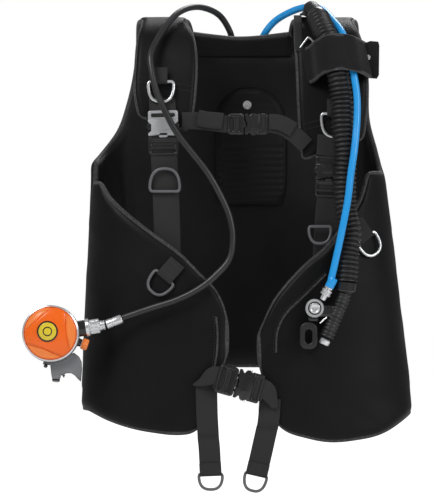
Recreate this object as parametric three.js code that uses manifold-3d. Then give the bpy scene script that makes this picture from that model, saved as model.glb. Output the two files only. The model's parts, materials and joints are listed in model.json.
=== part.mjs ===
// Buoyancy compensator vest with its regulator hose, second stage and inflator. Millimetres, +Z up, front faces -Y.
import * as THREE from 'three';
import { mergeVertices } from 'three/addons/utils/BufferGeometryUtils.js';
import ManifoldModule from 'manifold-3d';

const wasm = await ManifoldModule();
wasm.setup();

// Torso: a superellipse in plan, flared towards the hem.
const TORSO_Y = -130;
const BACK_DEPTH = 105;
const FRONT_DEPTH = 92;
const ROUNDNESS = 0.8;
const ARMPIT_Z = -14;
const HALF_WIDTH = { left: 206, right: 196 };
const FLARE = { left: 0.046, right: 0.118 };
const BACK_TOP_Z = 163;
const BACK_LOW_Z = -285;
const BACK_SIDE_DROP = 45;
const LEAN_START_Z = 60;
const LEAN = 22;
const BACK_THICKNESS = 16;
const LOBE_THICKNESS = 13;
const SHOULDER_THICKNESS = 12;
const COLLAR_THICKNESS = 12;
const EDGE_THICKNESS = 4;
const SEAM_GAP = 3;

// Webbing, wire and clearances.
const WEB_THICKNESS = 2;
const SHOULDER_WEB = 37;
const STERNUM_WEB = 24;
const WAIST_WEB = 34;
const HANGING_WEB = 30;
const TAB_WEB = 25;
const WIRE = 2.1;
const CLEAR = 0.4;

// Side-release buckles: overall length, width and depth.
const BUCKLE_DEPTH = 11;
const BUCKLE_WALL = 2.2;
const SHOULDER_BUCKLE = { length: 63, width: 42 };
const STERNUM_BUCKLE = { length: 57, width: 29 };
const WAIST_BUCKLE = { length: 65, width: 41 };

// Back plate, tank band and handle.
const PLATE = { width: 180, height: 330, thickness: 6, back: -8, middle: -20 };
const SADDLE = { width: 64, height: 290, groove: 54, groove_depth: 4 };
const BAND = { half_width: 88, half_depth: 38, height: 50, thickness: 2.5, front: -2, middle: -75 };
const CAM = { width: 72, height: 56, thickness: 5, lever: 62 };
const HANDLE = { half_span: 64, reach: 32, height: 28, thickness: 4, middle: 118 };

// Hoses.
const REGULATOR_HOSE = 9;
const INFLATOR_HOSE = 10;
const CORRUGATED_HOSE = 33;

// Second stage.
const STAGE = { x: -267, y: -239, z: -235, radius: 37, depth: 34, cover: 39, cover_depth: 12 };
const BUTTON_TRAVEL = 2.5;

const group = new THREE.Group();
group.name = 'buoyancy_vest';

const FINISHES = {
  nylon: { color: 0x1a1a1c, roughness: 0.85, metalness: 0 },
  lining: { color: 0x141416, roughness: 0.9, metalness: 0 },
  webbing: { color: 0x222224, roughness: 0.8, metalness: 0 },
  black_plastic: { color: 0x18181a, roughness: 0.45, metalness: 0 },
  grey_plastic: { color: 0x7d7f82, roughness: 0.5, metalness: 0 },
  satin_plastic: { color: 0xa7a9ac, roughness: 0.4, metalness: 0.2 },
  steel: { color: 0xc4c6c9, roughness: 0.25, metalness: 1 },
  dark_steel: { color: 0x55565a, roughness: 0.35, metalness: 1 },
  rubber: { color: 0x161617, roughness: 0.7, metalness: 0 },
  blue_rubber: { color: 0x26a0eb, roughness: 0.35, metalness: 0 },
  orange_plastic: { color: 0xf0531f, roughness: 0.35, metalness: 0 },
};

/** Adds one named piece with a material of its own. */
function add(name, geometry, finish) {
  const mesh = new THREE.Mesh(geometry, new THREE.MeshStandardMaterial(FINISHES[finish]));
  mesh.name = name;
  group.add(mesh);
}

const vec = (x, y, z) => new THREE.Vector3(x, y, z);

/** Welds a geometry down to its positions and index. */
function welded(geometry) {
  const bare = geometry.clone();
  bare.deleteAttribute('normal');
  bare.deleteAttribute('uv');
  return mergeVertices(bare, 1e-3);
}

/** Closed solid through rings of equal length, capped at both ends or joined end to end. */
function loft(rings, joined = false) {
  const count = rings[0].length;
  const index = [];
  const last = joined ? rings.length : rings.length - 1;
  for (let r = 0; r < last; r++) {
    const low = r * count;
    const high = ((r + 1) % rings.length) * count;
    for (let i = 0; i < count; i++) {
      const next = (i + 1) % count;
      index.push(low + i, low + next, high + next, low + i, high + next, high + i);
    }
  }
  if (!joined) {
    const top = (rings.length - 1) * count;
    for (let i = 0; i < count / 2 - 1; i++) {
      const far = count - 1 - i;
      index.push(i, far, far - 1, i, far - 1, i + 1);
      index.push(top + i, top + far - 1, top + far, top + i, top + i + 1, top + far - 1);
    }
  }
  const geometry = new THREE.BufferGeometry();
  const positions = rings.flat().flatMap((p) => [p.x, p.y, p.z]);
  geometry.setAttribute('position', new THREE.Float32BufferAttribute(positions, 3));
  geometry.setIndex(volume(positions, index) < 0 ? index.reverse() : index);
  return geometry;
}

/** Signed volume of a triangle list. */
function volume(positions, index) {
  const corner = (i) => vec(positions[3 * i], positions[3 * i + 1], positions[3 * i + 2]);
  let sum = 0;
  for (let t = 0; t < index.length; t += 3) {
    sum += corner(index[t]).dot(corner(index[t + 1]).cross(corner(index[t + 2])));
  }
  return sum / 6;
}

/** Closed sheet of soft material over a surface pointAt(u, v), thinner towards its edges. */
function padding(pointAt, full, columns, rows) {
  const step = 1e-3;
  const normalAt = (u, v) => {
    const alongU = pointAt(u + step, v).sub(pointAt(u - step, v));
    const alongV = pointAt(u, v + step).sub(pointAt(u, v - step));
    return alongU.cross(alongV).normalize();
  };
  const thicknessAt = (u, v) => {
    const crown = (1 - Math.abs(2 * u - 1) ** 8) * (1 - Math.abs(2 * v - 1) ** 8);
    return EDGE_THICKNESS + (full - EDGE_THICKNESS) * Math.sqrt(crown);
  };
  const rings = [];
  for (let r = 0; r <= rows; r++) {
    const v = r / rows;
    const front = [];
    const back = [];
    for (let c = 0; c <= columns; c++) {
      const u = c / columns;
      const half = normalAt(u, v).multiplyScalar(thicknessAt(u, v) / 2);
      front.push(pointAt(u, v).add(half));
      back.unshift(pointAt(u, v).sub(half));
    }
    rings.push([...front, ...back]);
  }
  return loft(rings);
}

/** Value at t on a smooth line through [t, value] pairs in rising t, held level past its ends. */
function through(pairs, t) {
  const clamped = Math.min(Math.max(t, pairs[0][0]), pairs.at(-1)[0]);
  const slope = (i) => {
    const before = pairs[Math.max(i - 1, 0)];
    const after = pairs[Math.min(i + 1, pairs.length - 1)];
    return (after[1] - before[1]) / (after[0] - before[0]);
  };
  let i = 0;
  while (i < pairs.length - 2 && clamped > pairs[i + 1][0]) i++;
  const width = pairs[i + 1][0] - pairs[i][0];
  const s = (clamped - pairs[i][0]) / width;
  const rise = (3 - 2 * s) * s * s;
  const start = s * (1 - s) * (1 - s) * width;
  const end = s * s * (s - 1) * width;
  return pairs[i][1] * (1 - rise) + pairs[i + 1][1] * rise + slope(i) * start + slope(i + 1) * end;
}

/** Flat band through points, its width along a given direction. */
function band(points, width, across, thickness = WEB_THICKNESS, steps = 8) {
  const curve = new THREE.CatmullRomCurve3(points, false, 'centripetal');
  const rings = [];
  for (let i = 0; i <= steps; i++) {
    const tangent = curve.getTangentAt(i / steps);
    const side = across.clone().addScaledVector(tangent, -across.dot(tangent)).normalize();
    const normal = tangent.clone().cross(side).normalize();
    rings.push(section(curve.getPointAt(i / steps), side, normal, width, thickness));
  }
  return loft(rings);
}

/** Four corners of a flat section. */
function section(centre, side, normal, width, thickness) {
  const corners = [[1, 1], [-1, 1], [-1, -1], [1, -1]];
  return corners.map(([a, b]) =>
    centre.clone().addScaledVector(side, (a * width) / 2).addScaledVector(normal, (b * thickness) / 2));
}

/** Round hose through points. */
function hose(points, diameter, steps, sides = 10) {
  const circle = [];
  for (let i = 0; i < sides; i++) {
    const turn = (2 * Math.PI * i) / sides;
    circle.push(new THREE.Vector2((Math.cos(turn) * diameter) / 2, (Math.sin(turn) * diameter) / 2));
  }
  const path = new THREE.CatmullRomCurve3(points, false, 'centripetal');
  return welded(new THREE.ExtrudeGeometry(new THREE.Shape(circle), { steps, extrudePath: path }));
}

/** Moves a geometry so that its X, Y and Z run along a direction, its partner and their cross product. */
function placed(geometry, origin, xAxis, yAxis) {
  const x = xAxis.clone().normalize();
  const y = yAxis.clone().addScaledVector(x, -yAxis.dot(x)).normalize();
  const frame = new THREE.Matrix4().makeBasis(x, y, x.clone().cross(y)).setPosition(origin);
  return geometry.applyMatrix4(frame);
}

/** Turned piece: [radius, height] pairs around an axis that starts at origin. */
function turned(profile, origin, axis, segments = 18) {
  const points = profile.map(([radius, height]) => new THREE.Vector2(radius, height));
  const geometry = welded(new THREE.LatheGeometry(points, segments));
  const partner = Math.abs(axis.z) > 0.9 ? vec(1, 0, 0) : vec(0, 0, 1);
  return placed(geometry, origin, partner.cross(axis), axis);
}

/** Rounded rectangle outline centred on a point. */
function roundedOutline(target, x, y, width, height, radius) {
  const left = x - width / 2;
  const low = y - height / 2;
  target.moveTo(left + radius, low);
  target.lineTo(left + width - radius, low);
  target.absarc(left + width - radius, low + radius, radius, -Math.PI / 2, 0, false);
  target.lineTo(left + width, low + height - radius);
  target.absarc(left + width - radius, low + height - radius, radius, 0, Math.PI / 2, false);
  target.lineTo(left + radius, low + height);
  target.absarc(left + radius, low + height - radius, radius, Math.PI / 2, Math.PI, false);
  target.lineTo(left, low + radius);
  target.absarc(left + radius, low + radius, radius, Math.PI, 1.5 * Math.PI, false);
  return target;
}

/** Flat plate in its own XY plane from z = base, with rounded corners and rounded slots. */
function plate(x, y, width, height, radius, base, depth, slots = []) {
  const shape = roundedOutline(new THREE.Shape(), x, y, width, height, radius);
  for (const slot of slots) {
    shape.holes.push(roundedOutline(new THREE.Path(), slot.x, slot.y, slot.width, slot.height, 1));
  }
  const geometry = new THREE.ExtrudeGeometry(shape, { depth, bevelEnabled: false, curveSegments: 3 });
  return welded(geometry.translate(0, 0, base));
}

/** Manifold solid of a closed geometry. */
function solid(geometry) {
  const clean = welded(geometry);
  return new wasm.Manifold(new wasm.Mesh({
    numProp: 3,
    vertProperties: new Float32Array(clean.attributes.position.array),
    triVerts: new Uint32Array(clean.index.array),
  }));
}

/** Geometry of a manifold solid. */
function shell(manifold) {
  const mesh = manifold.getMesh();
  const geometry = new THREE.BufferGeometry();
  geometry.setAttribute('position', new THREE.BufferAttribute(new Float32Array(mesh.vertProperties), 3));
  geometry.setIndex(new THREE.BufferAttribute(new Uint32Array(mesh.triVerts), 1));
  return welded(geometry);
}

/** One body from several closed geometries. */
function joined(...geometries) {
  return shell(geometries.map(solid).reduce((whole, next) => whole.add(next)));
}

// ---- torso surface ----

function halfWidth(side, z) {
  return HALF_WIDTH[side] + Math.max(0, ARMPIT_Z - z) * FLARE[side];
}

function lean(z) {
  const rise = Math.max(0, z - LEAN_START_Z) / (BACK_TOP_Z - LEAN_START_Z);
  return LEAN * rise * rise;
}

/** Point on the torso at an angle from the middle of the back (0) round to the middle of the front (pi). */
function torso(side, angle, z) {
  const sign = side === 'left' ? -1 : 1;
  const x = sign * halfWidth(side, z) * Math.abs(Math.sin(angle)) ** ROUNDNESS;
  const cosine = Math.cos(angle);
  const depth = cosine > 0 ? BACK_DEPTH : FRONT_DEPTH;
  const y = TORSO_Y + Math.sign(cosine) * depth * Math.abs(cosine) ** ROUNDNESS - lean(z);
  return vec(x, y, z);
}

/** Angle at which the torso reaches a half-width share. */
function angleAt(share) {
  return Math.asin(Math.min(1, share) ** (1 / ROUNDNESS));
}

/** Outer front surface of a lobe at x and z: its point and its outward normal. */
function lobeFrame(x, z) {
  const side = x < 0 ? 'left' : 'right';
  const angle = Math.PI - angleAt(Math.abs(x) / halfWidth(side, z));
  const step = 0.01;
  const alongAngle = torso(side, angle + step, z).sub(torso(side, angle - step, z));
  const upward = torso(side, angle, z + 1).sub(torso(side, angle, z - 1));
  const normal = alongAngle.cross(upward).normalize();
  if (normal.y > 0) normal.negate();
  return { point: torso(side, angle, z).addScaledVector(normal, LOBE_THICKNESS / 2), normal };
}

const ARMHOLE = {
  left: [[-14, 206], [7, 205], [24, 193], [52, 174], [91, 161], [126, 153], [163, 148]],
  right: [[-14, 196], [17, 191], [67, 179], [122, 178], [163, 173]],
};

function backPanel() {
  const pointAt = (u, v) => {
    const across = 2 * u - 1;
    const side = across < 0 ? 'left' : 'right';
    const low = BACK_LOW_Z - BACK_SIDE_DROP * Math.abs(across) ** 3;
    const z = low + (BACK_TOP_Z - low) * v;
    const seam = SEAM_GAP / 2 / BACK_DEPTH;
    const share = z < ARMPIT_Z ? 1 : through(ARMHOLE[side], z) / halfWidth(side, z);
    const reach = Math.min(angleAt(share), Math.PI / 2 - seam ** 1.25);
    return torso(side, Math.abs(across) * reach, z);
  };
  return padding(pointAt, BACK_THICKNESS, 16, 9);
}

const LOBE_TOP = {
  left: [[20, -222], [24, -203], [38, -175], [59, -154], [87, -126], [136, -91], [164, -70], [192, -45], [206, -24]],
  right: [[22, -236], [29, -224], [41, -197], [60, -171], [92, -139], [123, -115], [170, -62], [183, -43], [196, -10]],
};
const LOBE_HEM = {
  left: [[20, -262], [32, -292], [46, -345], [63, -371], [88, -376], [111, -374], [146, -368], [180, -357], [208, -343]],
  right: [[22, -272], [28, -296], [40, -350], [55, -370], [78, -379], [109, -386], [141, -384], [181, -374], [230, -340]],
};
const LOBE_INNER = { left: 20, right: 22 };

function lobe(side) {
  const nominal = halfWidth(side, -200);
  const inner = Math.PI - angleAt(LOBE_INNER[side] / nominal);
  const outer = Math.PI / 2 + (SEAM_GAP / 2 / FRONT_DEPTH) ** 1.25;
  const pointAt = (u, v) => {
    const angle = outer + (inner - outer) * u;
    const out = nominal * Math.sin(angle) ** ROUNDNESS;
    const top = through(LOBE_TOP[side], out);
    const hem = through(LOBE_HEM[side], out);
    return torso(side, angle, hem + (top - hem) * v);
  };
  return padding(pointAt, LOBE_THICKNESS, 12, 6);
}

const SHOULDER_ARCH = [
  vec(0, -47, 167), vec(0, -63, 193), vec(0, -105, 205), vec(0, -145, 188),
  vec(0, -171, 150), vec(0, -185, 100), vec(0, -191, 55), vec(0, -195, 5),
];
const SHOULDER_END = { left: { inner: 0.865, outer: 0.8 }, right: { inner: 0.995, outer: 0.9 } };
const SHOULDER_EDGE = {
  left: {
    inner: [[0, 66], [0.17, 74], [0.3, 79], [0.42, 68], [0.55, 64], [0.7, 66], [0.87, 73]],
    outer: [[0, 148], [0.17, 147], [0.3, 140], [0.42, 146], [0.55, 149], [0.7, 150], [0.87, 138]],
  },
  right: {
    inner: [[0, 66], [0.17, 71], [0.3, 75], [0.42, 75], [0.55, 77], [0.8, 80], [1, 85]],
    outer: [[0, 165], [0.17, 163], [0.3, 157], [0.42, 166], [0.55, 174], [0.75, 175], [1, 165]],
  },
};
const shoulderCurve = new THREE.CatmullRomCurve3(SHOULDER_ARCH, false, 'centripetal');

/** Middle surface of a shoulder panel at a share of its width from the neck and a share of its arch. */
function shoulderPoint(side, share, along) {
  const clamped = Math.min(Math.max(along, 0), 1);
  const point = shoulderCurve.getPointAt(clamped);
  const inner = through(SHOULDER_EDGE[side].inner, clamped);
  const outer = through(SHOULDER_EDGE[side].outer, clamped);
  const out = inner + (outer - inner) * share;
  const wrap = torso(side, angleAt(out / halfWidth(side, BACK_TOP_Z)), BACK_TOP_Z).y;
  const fade = Math.max(0, 1 - clamped / 0.3);
  const sign = side === 'left' ? -1 : 1;
  return vec(sign * out, point.y + fade * (wrap - SHOULDER_ARCH[0].y), point.z);
}

function shoulderPanel(side) {
  const end = SHOULDER_END[side];
  const pointAt = (u, v) => shoulderPoint(side, u, v * (end.inner + (end.outer - end.inner) * u));
  return padding(pointAt, SHOULDER_THICKNESS, 4, 14);
}

const NECKLINE = [[-62, 190], [-35, 186], [-8, 183], [18, 184], [41, 187], [62, 190]];

function neckCollar() {
  const pointAt = (u, v) => {
    const x = NECKLINE[0][0] + (NECKLINE.at(-1)[0] - NECKLINE[0][0]) * u;
    const low = BACK_TOP_Z + 2;
    const z = low + (through(NECKLINE, x) - low) * v;
    const side = x < 0 ? 'left' : 'right';
    return vec(x, torso(side, angleAt(Math.abs(x) / halfWidth(side, z)), z).y, z);
  };
  return padding(pointAt, COLLAR_THICKNESS, 7, 2);
}

const PAD_OUTLINE = [[-52, 40], [-40, 46], [0, 48], [60, 47], [85, 42], [100, 30], [109, 14]];
const PAD_THICKNESS = 8;
const PAD_X = 13;
const PAD_GAP = 2.5;

function backPad() {
  const pointAt = (u, v) => {
    const low = PAD_OUTLINE[0][0];
    const z = low + (PAD_OUTLINE.at(-1)[0] - low) * v;
    const x = PAD_X + (2 * u - 1) * through(PAD_OUTLINE, z);
    const side = x < 0 ? 'left' : 'right';
    const surface = torso(side, angleAt(Math.abs(x) / halfWidth(side, z)), z);
    surface.y -= BACK_THICKNESS / 2 + PAD_THICKNESS / 2 + PAD_GAP;
    return surface;
  };
  return padding(pointAt, PAD_THICKNESS, 5, 7);
}

// ---- buckles, rings and webbing ----

/** Socket half: X is the pull direction, Y across, Z outward; the mouth is at x = 0. */
function buckleSocket(size) {
  const tunnel = 0.36 * size.length;
  const frame = 0.2 * size.length;
  const body = solid(plate(-tunnel / 2, 0, tunnel, size.width, 3, -BUCKLE_DEPTH / 2, BUCKLE_DEPTH));
  const inside = { width: size.width - 2 * BUCKLE_WALL, depth: BUCKLE_DEPTH - 2 * BUCKLE_WALL };
  const length = tunnel - BUCKLE_WALL;
  const bore = new THREE.BoxGeometry(length + 1, inside.width, inside.depth).translate((1 - length) / 2, 0, 0);
  const window = new THREE.BoxGeometry(tunnel * 0.5, size.width + 2, inside.depth * 0.9);
  const slot = { x: -tunnel - frame / 2, y: 0, width: 6, height: size.width - 9 };
  const bar = plate(-tunnel - frame / 2 + 1, 0, frame + 2, size.width, 3, -3, 6, [slot]);
  const hollow = body.subtract(solid(bore)).subtract(solid(window.translate(-tunnel * 0.45, 0, 0)));
  return shell(hollow.add(solid(bar).subtract(solid(bore.clone()))));
}

/** Tongue half: its base starts just past the mouth, its three prongs reach into the socket. */
function buckleTongue(size) {
  const base = 0.42 * size.length;
  const prong = 0.3 * size.length;
  const inside = { width: size.width - 2 * BUCKLE_WALL, depth: BUCKLE_DEPTH - 2 * BUCKLE_WALL };
  const slots = [0.42, 0.78].map((share) => ({ x: base * share, y: 0, width: 5, height: size.width - 9 }));
  const body = plate(CLEAR + base / 2, 0, base, size.width, 4, -3.4, 6.8, slots);
  const thick = inside.depth - 2 * CLEAR;
  const arm = inside.width * 0.16;
  const armX = -prong / 2 + 1.5;
  const prongs = [-1, 0, 1].map((place) =>
    new THREE.BoxGeometry(prong + 3, arm, thick).translate(armX, place * (inside.width / 2 - arm / 2 - CLEAR), 0));
  return joined(body, ...prongs);
}

const FRONT = vec(0, -1, 0);

/** Adds both halves of a side-release buckle whose mouth is at a point. */
function buckle(name, size, mouth, pull, finish) {
  const across = FRONT.clone().cross(pull);
  add(`${name}_buckle_socket`, placed(buckleSocket(size), mouth, pull, across), finish);
  add(`${name}_buckle_tongue`, placed(buckleTongue(size), mouth, pull, across), finish);
}

/** Wire D-ring: a straight bar centred on a point, its bow reaching along a direction. */
function wireRing(bar, barAxis, bow, width, reach, radius = WIRE) {
  const steps = 14;
  const outline = [];
  for (let i = 0; i <= steps; i++) {
    const turn = (Math.PI * i) / steps;
    const along = (width / 2) * Math.sign(Math.cos(turn)) * Math.abs(Math.cos(turn)) ** 0.8;
    outline.push([along, reach * Math.sin(turn) ** 0.7]);
  }
  outline.push([-width / 4, 0], [0, 0], [width / 4, 0]);
  const side = barAxis.clone().normalize();
  const down = bow.clone().normalize();
  const normal = side.clone().cross(down);
  const centres = outline.map(([a, b]) => bar.clone().addScaledVector(side, a).addScaledVector(down, b));
  const rings = centres.map((centre, i) => {
    const before = centres[(i + centres.length - 1) % centres.length];
    const after = centres[(i + 1) % centres.length];
    const tangent = after.clone().sub(before).normalize();
    const outward = tangent.cross(normal).normalize();
    return [0, 1, 2, 3, 4, 5].map((k) => {
      const turn = (Math.PI * k) / 3;
      return centre.clone().addScaledVector(outward, radius * Math.cos(turn))
        .addScaledVector(normal, radius * Math.sin(turn));
    });
  });
  return loft(rings, true);
}

const RIGHTWARD = vec(1, 0, 0);
const UPWARD = vec(0, 0, 1);

function shoulderStraps() {
  const left = vec(-110, -206, 41);
  buckle('left_shoulder', SHOULDER_BUCKLE, left, vec(0.02, 0, -1), 'satin_plastic');
  const leftWeb = [vec(-109, -206, 11.5), vec(-107, -204, -30), vec(-105, -201, -90), vec(-104, -199, -150)];
  add('left_shoulder_webbing', band(leftWeb, SHOULDER_WEB, RIGHTWARD), 'webbing');
  add('left_strap_ring', wireRing(vec(-108, -208.4, -37), RIGHTWARD, vec(0, -0.09, 1), 42, 32), 'dark_steel');
  const right = vec(122, -208, -20);
  buckle('right_shoulder', { length: 58, width: SHOULDER_BUCKLE.width - 2 }, right, vec(-0.03, 0, -1), 'black_plastic');
  const rightWeb = [vec(123, -208, -48), vec(121, -203, -70), vec(119, -197, -100), vec(117, -192, -165)];
  add('right_shoulder_webbing', band(rightWeb, SHOULDER_WEB, RIGHTWARD), 'webbing');
  add('right_strap_ring', wireRing(vec(109, -208.4, -86), RIGHTWARD, vec(0, -0.12, -1), 31, 24), 'dark_steel');
  add('left_chest_ring', wireRing(vec(-113.5, -195, 117), RIGHTWARD, vec(0, -0.18, -1), 36, 29), 'steel');
  add('right_chest_ring', wireRing(vec(129, -201.5, 72), RIGHTWARD, vec(0, -0.05, -1), 36, 33), 'steel');
}

function sternumStrap() {
  const mouth = vec(4, -206, 57);
  buckle('sternum', STERNUM_BUCKLE, mouth, vec(-1, 0, 0), 'black_plastic');
  const left = [vec(-23.5, -206, 57), vec(-45, -203, 60), vec(-66, -199, 62), vec(-84, -197.5, 62)];
  add('left_sternum_webbing', band(left, STERNUM_WEB, UPWARD), 'webbing');
  const right = [vec(39.5, -206, 56.5), vec(54, -205.5, 54), vec(74, -205, 42), vec(90, -203.5, 27)];
  add('right_sternum_webbing', band(right, STERNUM_WEB, UPWARD), 'webbing');
}

function waistStrap() {
  const slope = 0.28;
  const pull = vec(-1, 0, slope).normalize();
  const mouth = vec(-8, -240, -304);
  buckle('waist', WAIST_BUCKLE, mouth, pull, 'black_plastic');
  const leftStart = mouth.clone().addScaledVector(pull, 34);
  const left = [leftStart, vec(-60, -237, -295), vec(-78, -233.5, -301)];
  add('left_waist_webbing', band(left, WAIST_WEB, vec(slope, 0, 1)), 'webbing');
  const rightStart = mouth.clone().addScaledVector(pull, -44);
  const right = [rightStart, vec(52, -238, -325), vec(66, -236, -338)];
  add('right_waist_webbing', band(right, WAIST_WEB, vec(0.6, 0, 1)), 'webbing');
  const leftHang = [vec(-50, -231, -306), vec(-49, -231, -345), vec(-46, -231, -390), vec(-44, -231, -428)];
  add('left_hanging_strap', band(leftHang, HANGING_WEB, RIGHTWARD), 'webbing');
  add('left_hanging_ring', wireRing(vec(-43.8, -231, -431), RIGHTWARD, vec(0, 0, -1), 33, 22), 'dark_steel');
  const rightHang = [vec(38, -231.5, -334), vec(35, -231.5, -372), vec(27, -231, -402), vec(21, -231, -428)];
  add('right_hanging_strap', band(rightHang, HANGING_WEB, RIGHTWARD), 'webbing');
  const rightSide = vec(0.97, 0, -0.22);
  add('right_hanging_ring', wireRing(vec(20, -231, -431.5), rightSide, vec(-0.22, 0, -0.97), 31, 24), 'dark_steel');
}

/** Webbing tab and D-ring sewn to a lobe, reaching along a direction seen from the front. */
function lobeRing(side, x, z, reach) {
  const frame = lobeFrame(x, z);
  const down = reach.clone().addScaledVector(frame.normal, -reach.dot(frame.normal)).normalize();
  const across = down.clone().cross(frame.normal);
  const lifted = frame.point.clone().addScaledVector(frame.normal, WEB_THICKNESS + 2);
  const tab = [lifted.clone().addScaledVector(down, -28), lifted.clone().addScaledVector(down, -WIRE - CLEAR)];
  add(`${side}_lobe_tab`, band(tab, TAB_WEB, across, WEB_THICKNESS, 2), 'webbing');
  const bow = down.clone().addScaledVector(frame.normal, 0.1);
  add(`${side}_lobe_ring`, wireRing(lifted, across, bow, 34, 27), side === 'left' ? 'dark_steel' : 'steel');
}

// ---- back plate, tank band, handle ----

/** Turns a plate drawn in its own XY plane to stand upright with its outside to the rear. */
function upright(geometry, y) {
  return placed(geometry, vec(0, y, 0), vec(-1, 0, 0), vec(0, 0, 1));
}

function backPlate() {
  const slots = [-1, 1].map((sign) => ({ x: sign * 66, y: BAND.middle, width: 7, height: BAND.height + 6 }));
  const panel = plate(0, PLATE.middle, PLATE.width, PLATE.height, 28, 0, PLATE.thickness, slots);
  const saddle = plate(0, PLATE.middle, SADDLE.width, SADDLE.height, 10, -1, 1 - PLATE.back);
  const whole = joined(upright(panel, PLATE.back - PLATE.thickness), upright(saddle, PLATE.back));
  const depth = SADDLE.groove_depth;
  const groove = plate(0, BAND.middle, SADDLE.width + 2, SADDLE.groove, 1, -depth, depth + 1);
  return shell(solid(whole).subtract(solid(upright(groove, 0))));
}

/** Slack tank band: a closed upright loop behind the plate. */
function tankBand() {
  const steps = 32;
  const rings = [];
  const centreY = BAND.half_depth + BAND.front;
  for (let i = 0; i < steps; i++) {
    const turn = (2 * Math.PI * i) / steps;
    const round = (value) => Math.sign(value) * Math.abs(value) ** 0.7;
    const out = vec(BAND.half_width * round(Math.cos(turn)), BAND.half_depth * round(Math.sin(turn)), 0);
    const nearX = BAND.half_width * Math.sign(Math.cos(turn)) * Math.abs(Math.cos(turn)) ** 1.3;
    const normal = vec(nearX * BAND.half_depth, out.y * BAND.half_width, 0).normalize();
    const centre = vec(out.x, centreY + out.y, BAND.middle);
    rings.push(section(centre, UPWARD, normal, BAND.height, BAND.thickness));
  }
  return loft(rings, true);
}

function camBuckle() {
  const rear = 2 * BAND.half_depth + BAND.front + BAND.thickness / 2 + CLEAR;
  const slots = [-0.3, 0.3].map((share) => ({ x: share * CAM.width, y: BAND.middle, width: 5, height: 44 }));
  const frame = plate(0, BAND.middle, CAM.width, CAM.height, 5, 0, CAM.thickness, slots);
  add('cam_buckle_frame', upright(frame, rear), 'black_plastic');
  const lever = plate(2, BAND.middle, CAM.lever, CAM.height - 6, 6, 0, CAM.thickness);
  add('cam_buckle_lever', upright(lever, rear + CAM.thickness + CLEAR), 'black_plastic');
}

function carryHandle() {
  const foot = PLATE.back + HANDLE.thickness / 2 + 3 * CLEAR;
  const points = [
    vec(-HANDLE.half_span - 12, foot, HANDLE.middle), vec(-HANDLE.half_span, foot, HANDLE.middle),
    vec(-HANDLE.half_span * 0.62, HANDLE.reach * 0.75, HANDLE.middle), vec(0, HANDLE.reach, HANDLE.middle),
    vec(HANDLE.half_span * 0.62, HANDLE.reach * 0.75, HANDLE.middle), vec(HANDLE.half_span, foot, HANDLE.middle),
    vec(HANDLE.half_span + 12, foot, HANDLE.middle),
  ];
  return band(points, HANDLE.height, UPWARD, HANDLE.thickness, 20);
}

function backRivet() {
  const y = TORSO_Y + BACK_DEPTH - lean(88) - BACK_THICKNESS / 2 - PAD_THICKNESS - PAD_GAP - 1;
  return turned([[0, 0], [6.5, 0], [6.5, 1.6], [4, 2.6], [0, 2.6]], vec(8, y, 88), FRONT, 20);
}

// ---- hoses, inflator and keeper ----

const CORRUGATED_PATH = [
  vec(107.5, -160.5, 207), vec(112, -175, 195), vec(123, -197, 168), vec(133, -218, 130), vec(139, -223, 91),
  vec(141, -229, 49), vec(144, -232, 14), vec(143, -232.5, -14), vec(144, -234, -59), vec(151, -237, -98),
  vec(147, -239, -127), vec(145, -242, -163),
];
const INFLATOR_PATH = [
  vec(32, -34, 188), vec(46, -38, 206), vec(67, -52, 219), vec(91, -74, 226), vec(113, -102, 222),
  vec(129, -146, 204), vec(141, -173, 186), vec(150, -200, 160), vec(154.5, -225, 133), vec(160, -233, 97),
  vec(160, -240, 63), vec(156, -250, 20), vec(151, -254.5, -14), vec(147, -258, -48), vec(140, -260, -85),
  vec(133, -258, -119), vec(122, -256, -168),
];
const INFLATOR_TAIL = [vec(22, 22, 60), vec(22, 21, 100), vec(24, 12, 142), vec(28, -14, 172)];
const REGULATOR_PATH = [
  vec(-14, -33, 185), vec(-20, -37, 200), vec(-32, -47, 216), vec(-60, -84, 226), vec(-88, -130, 217),
  vec(-106, -160, 197), vec(-120, -182, 174), vec(-128, -198, 153), vec(-126, -207, 130), vec(-120, -213, 104),
  vec(-108.5, -219, 77), vec(-92, -223, 46), vec(-70, -225, 17), vec(-49, -226, -10), vec(-31, -227, -41),
  vec(-17, -229, -74), vec(-13, -231, -104), vec(-18, -234, -132), vec(-38, -238, -155), vec(-59, -239, -172),
  vec(-90, -238, -188), vec(-127, -235, -200), vec(-166.3, -227.5, -213.4),
];
const REGULATOR_TAIL = [vec(-14, 22, 62), vec(-14, 21, 100), vec(-13, 12, 142), vec(-13, -13, 170)];

/** Threaded hose end hanging down from the tail of a hose. */
function hoseEnd(top) {
  const profile = [
    [0, 0], [6, 0], [6, 7], [7.5, 7.6], [7.5, 16], [4.5, 16.6], [4.5, 25], [0, 25],
  ];
  return turned(profile, top.clone().add(vec(0, 0, -CLEAR)), vec(0, 0, -1), 12);
}

function dumpElbow() {
  const path = [vec(97, -116, 222), vec(100, -134, 221.5), vec(104, -150, 215), vec(107, -159, 208.6)];
  const flange = turned([[0, 0], [15, 0], [15, 3], [10, 5], [0, 5]], vec(97, -114, 213), UPWARD, 16);
  return joined(hose(path, 19, 6, 14), flange);
}

function hoseKeeper() {
  const slope = vec(-0.12, 0.33, 0.93);
  const points = [
    vec(88, -186, 137), vec(97, -190, 137), vec(108, -222, 137), vec(122, -238, 137), vec(140, -241, 137),
    vec(160, -238, 137), vec(170, -216, 137), vec(178, -192, 137),
  ];
  return band(points, 52, slope, 2.4, 24);
}

const HOUSING = vec(101, -229, -200);
const HOUSING_DEPTH = 21;

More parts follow.
